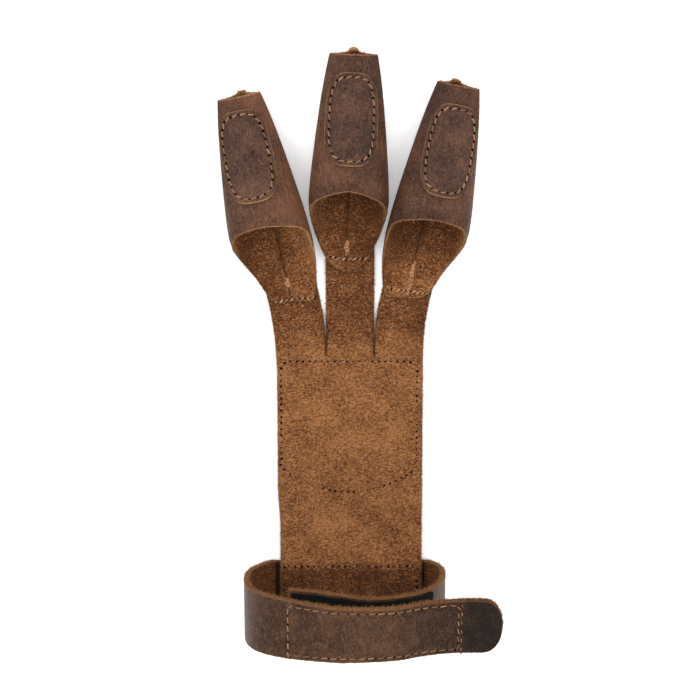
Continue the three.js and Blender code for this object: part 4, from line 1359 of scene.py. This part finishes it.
def seam_ridge(name, finger, seed):
    """The flattened end of the seam, pushed up along the middle of a tongue."""
    steps, sides = 26, 9
    share = np.linspace(0, 1, steps)[:, None]
    near, far = ridge_spans[name]
    distance = finger["length"] - far + (far - near) * share
    fat = np.sin(math.pi * np.clip(0.06 + 0.9 * share, 0, 1)) ** 0.5
    turns = np.linspace(0, math.pi, sides)[None, :]
    sway = 0.25 * np.sin(share * 9 + seed)
    across = ridge_width / 2 * fat * np.cos(turns) + sway
    points = stall_inside(finger, np.broadcast_to(distance, across.shape), across)
    points[..., 2] += ridge_height * fat * np.sin(turns) - 0.1
    made = plain_object(f"ridge_{name}", points.reshape(-1, 3), [], grid_quads(steps, sides).tolist())
    mark(made, [ridge_suede], np.stack([across, distance + 0 * across, 0 * across], axis=-1), 0, 0, 0.4)
    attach(made, "root")
    return made


ridges = [seam_ridge(name, finger, seed) for seed, (name, finger) in enumerate(fingers.items())]

strap_look = {
    "pitch": 3.7, "gap": 0.9, "thread": 0.26, "rise": 0.34, "slant": 0.15, "hole": 0.46, "uneven": 0.15,
    "material": tan_thread,
}
second_column = np.array([[outer_seam[1, 0], hook_end + 1.3], [outer_seam[0, 0], hook_end + 1.3]])
height = strap_thickness / 2 - 0.22
for name, corners in (("tape", outer_seam), ("tail", second_column)):
    seam_line = walk(corners, 0.6)
    seam_points = strap_place(seam_line[:, 1], seam_line[:, 0], height)
    ups = strap_up(seam_line[:, 1])
    sew(f"strap_{name}_stitches", seam_points, ups, strap_look, 13)

# Raised fibres. Cut edges of split leather are fuzzy, and single fibres stand up from
# the brushed flesh sides.
fibre_radius = 0.05
fibre_lean = 0.9
suede_fibre = strand_finish("suede fibre", "#553318", "#a1744a", 1500.0)
nylon_fibre = strand_finish("nylon fibre", "#050506", "#141417", 2500.0)


def grow_fibres(tree, given):
    """Bent fibres scattered over a mesh where its fuzz is more than nothing."""
    density = times(tree, kept(tree, "fuzz"), given["Density"])
    inputs = {"Mesh": given["Geometry"], "Density": density, "Seed": given["Seed"]}
    scatter = add(tree, "GeometryNodeDistributePointsOnFaces", inputs).outputs
    length = given["Length"]
    start = vector(tree, 0.0, 0.0, times(tree, length, -0.1))
    middle = vector(tree, 0.0, 0.0, times(tree, length, 0.6))
    end = vector(tree, times(tree, length, 0.6), 0.0, times(tree, length, 0.8))
    bent = arched(tree, start, middle, end, 2)
    fibre = swept(tree, bent, circle(tree, given["Radius"], 3), False)
    lean_back = times(tree, given["Lean"], -1.0)
    leans = [random_number(tree, given, lean_back, given["Lean"], draw) for draw in (1, 2)]
    turn = random_number(tree, given, 0.0, 2 * math.pi, 3)
    rotation = turned(tree, scatter["Rotation"], *leans, turn)
    fibres = copies(tree, scatter["Points"], fibre, rotation, random_number(tree, given, 0.35, 1.3, 4))
    fibres = keep(tree, fibres, "shade", random_number(tree, given, 0.0, 1.0, 5), "INSTANCE")
    return as_mesh(tree, fibres, given["Fibre Material"])


fibre_sizes = ["Density", "Length", "Radius", "Lean"]
fibre_inputs = {"Float": fibre_sizes, "Int": ["Seed"], "Material": ["Fibre Material"]}
fibre_steps = geometry_steps("raised fibres", fibre_inputs, grow_fibres)


def fuzzy(piece, density, length, seed, strand):
    """Fibres standing on a piece's cut edges and nap."""
    bed = bpy.data.objects.new("fibre bed", piece.data)
    bpy.context.scene.collection.objects.link(bed)
    values = {
        "Density": density / mm**2, "Length": length * mm, "Radius": fibre_radius * mm, "Lean": fibre_lean,
        "Seed": seed, "Fibre Material": strand,
    }
    grown(piece.name + "_fibres", bed, fibre_steps, values)


fuzzy(panel, 4.5, 0.6, 31, suede_fibre)
fuzzy(strap, 5.5, 0.9, 32, suede_fibre)
for seed, piece in enumerate(stalls + ridges + seam_ends):
    fuzzy(piece, 3, 0.6, 33 + seed, suede_fibre)
fuzzy(hook_tape, 0.5, 0.6, 41, nylon_fibre)
fuzzy(loop_tape, 0.5, 0.6, 42, nylon_fibre)

# Floor, lights and surroundings. A pale table with a faint light of its own, so that it
# comes out as plain as a studio's background, under wide soft lamps.
floor_half = 3000
corners = [[x * floor_half, y * floor_half, 0] for x, y in ((-1, -1), (1, -1), (1, 1), (-1, 1))]
floor = plain_object("floor", corners, [], [(0, 1, 2, 3)])
pale_table, tree, shader = new_material("pale table")
table_look = {
    "Base Color": (0.98, 0.98, 0.98, 1), "Roughness": 0.9,
    "Emission Color": (1, 1, 1, 1), "Emission Strength": 0.22,
}
feed(tree, shader.inputs, table_look)
floor.data.materials.append(pale_table)
world = bpy.data.worlds.new("studio")
world.use_nodes = True
sky = world.node_tree.nodes["Background"]
feed(world.node_tree, sky.inputs, {"Color": (1, 1, 1, 1), "Strength": 0.8})
bpy.context.scene.world = world
bpy.context.scene.view_settings.view_transform = "Standard"


def soft_lamp(name, place, size, watts):
    data = bpy.data.lights.new(name, "AREA")
    data.shape = "DISK"
    data.size = size * mm
    data.energy = watts
    lamp = bpy.data.objects.new(name, data)
    bpy.context.scene.collection.objects.link(lamp)
    lamp.location = Vector(place) * mm
    lamp.rotation_euler = (-Vector(place)).to_track_quat("-Z", "Y").to_euler()


soft_lamp("left lamp", (-1000, 400, 1000), 1100, 9.5)
soft_lamp("right lamp", (1000, 250, 1000), 1100, 8)
soft_lamp("wrist lamp", (0, -1000, 1100), 1100, 5)
soft_lamp("finger lamp", (0, 1000, 1100), 1100, 5)
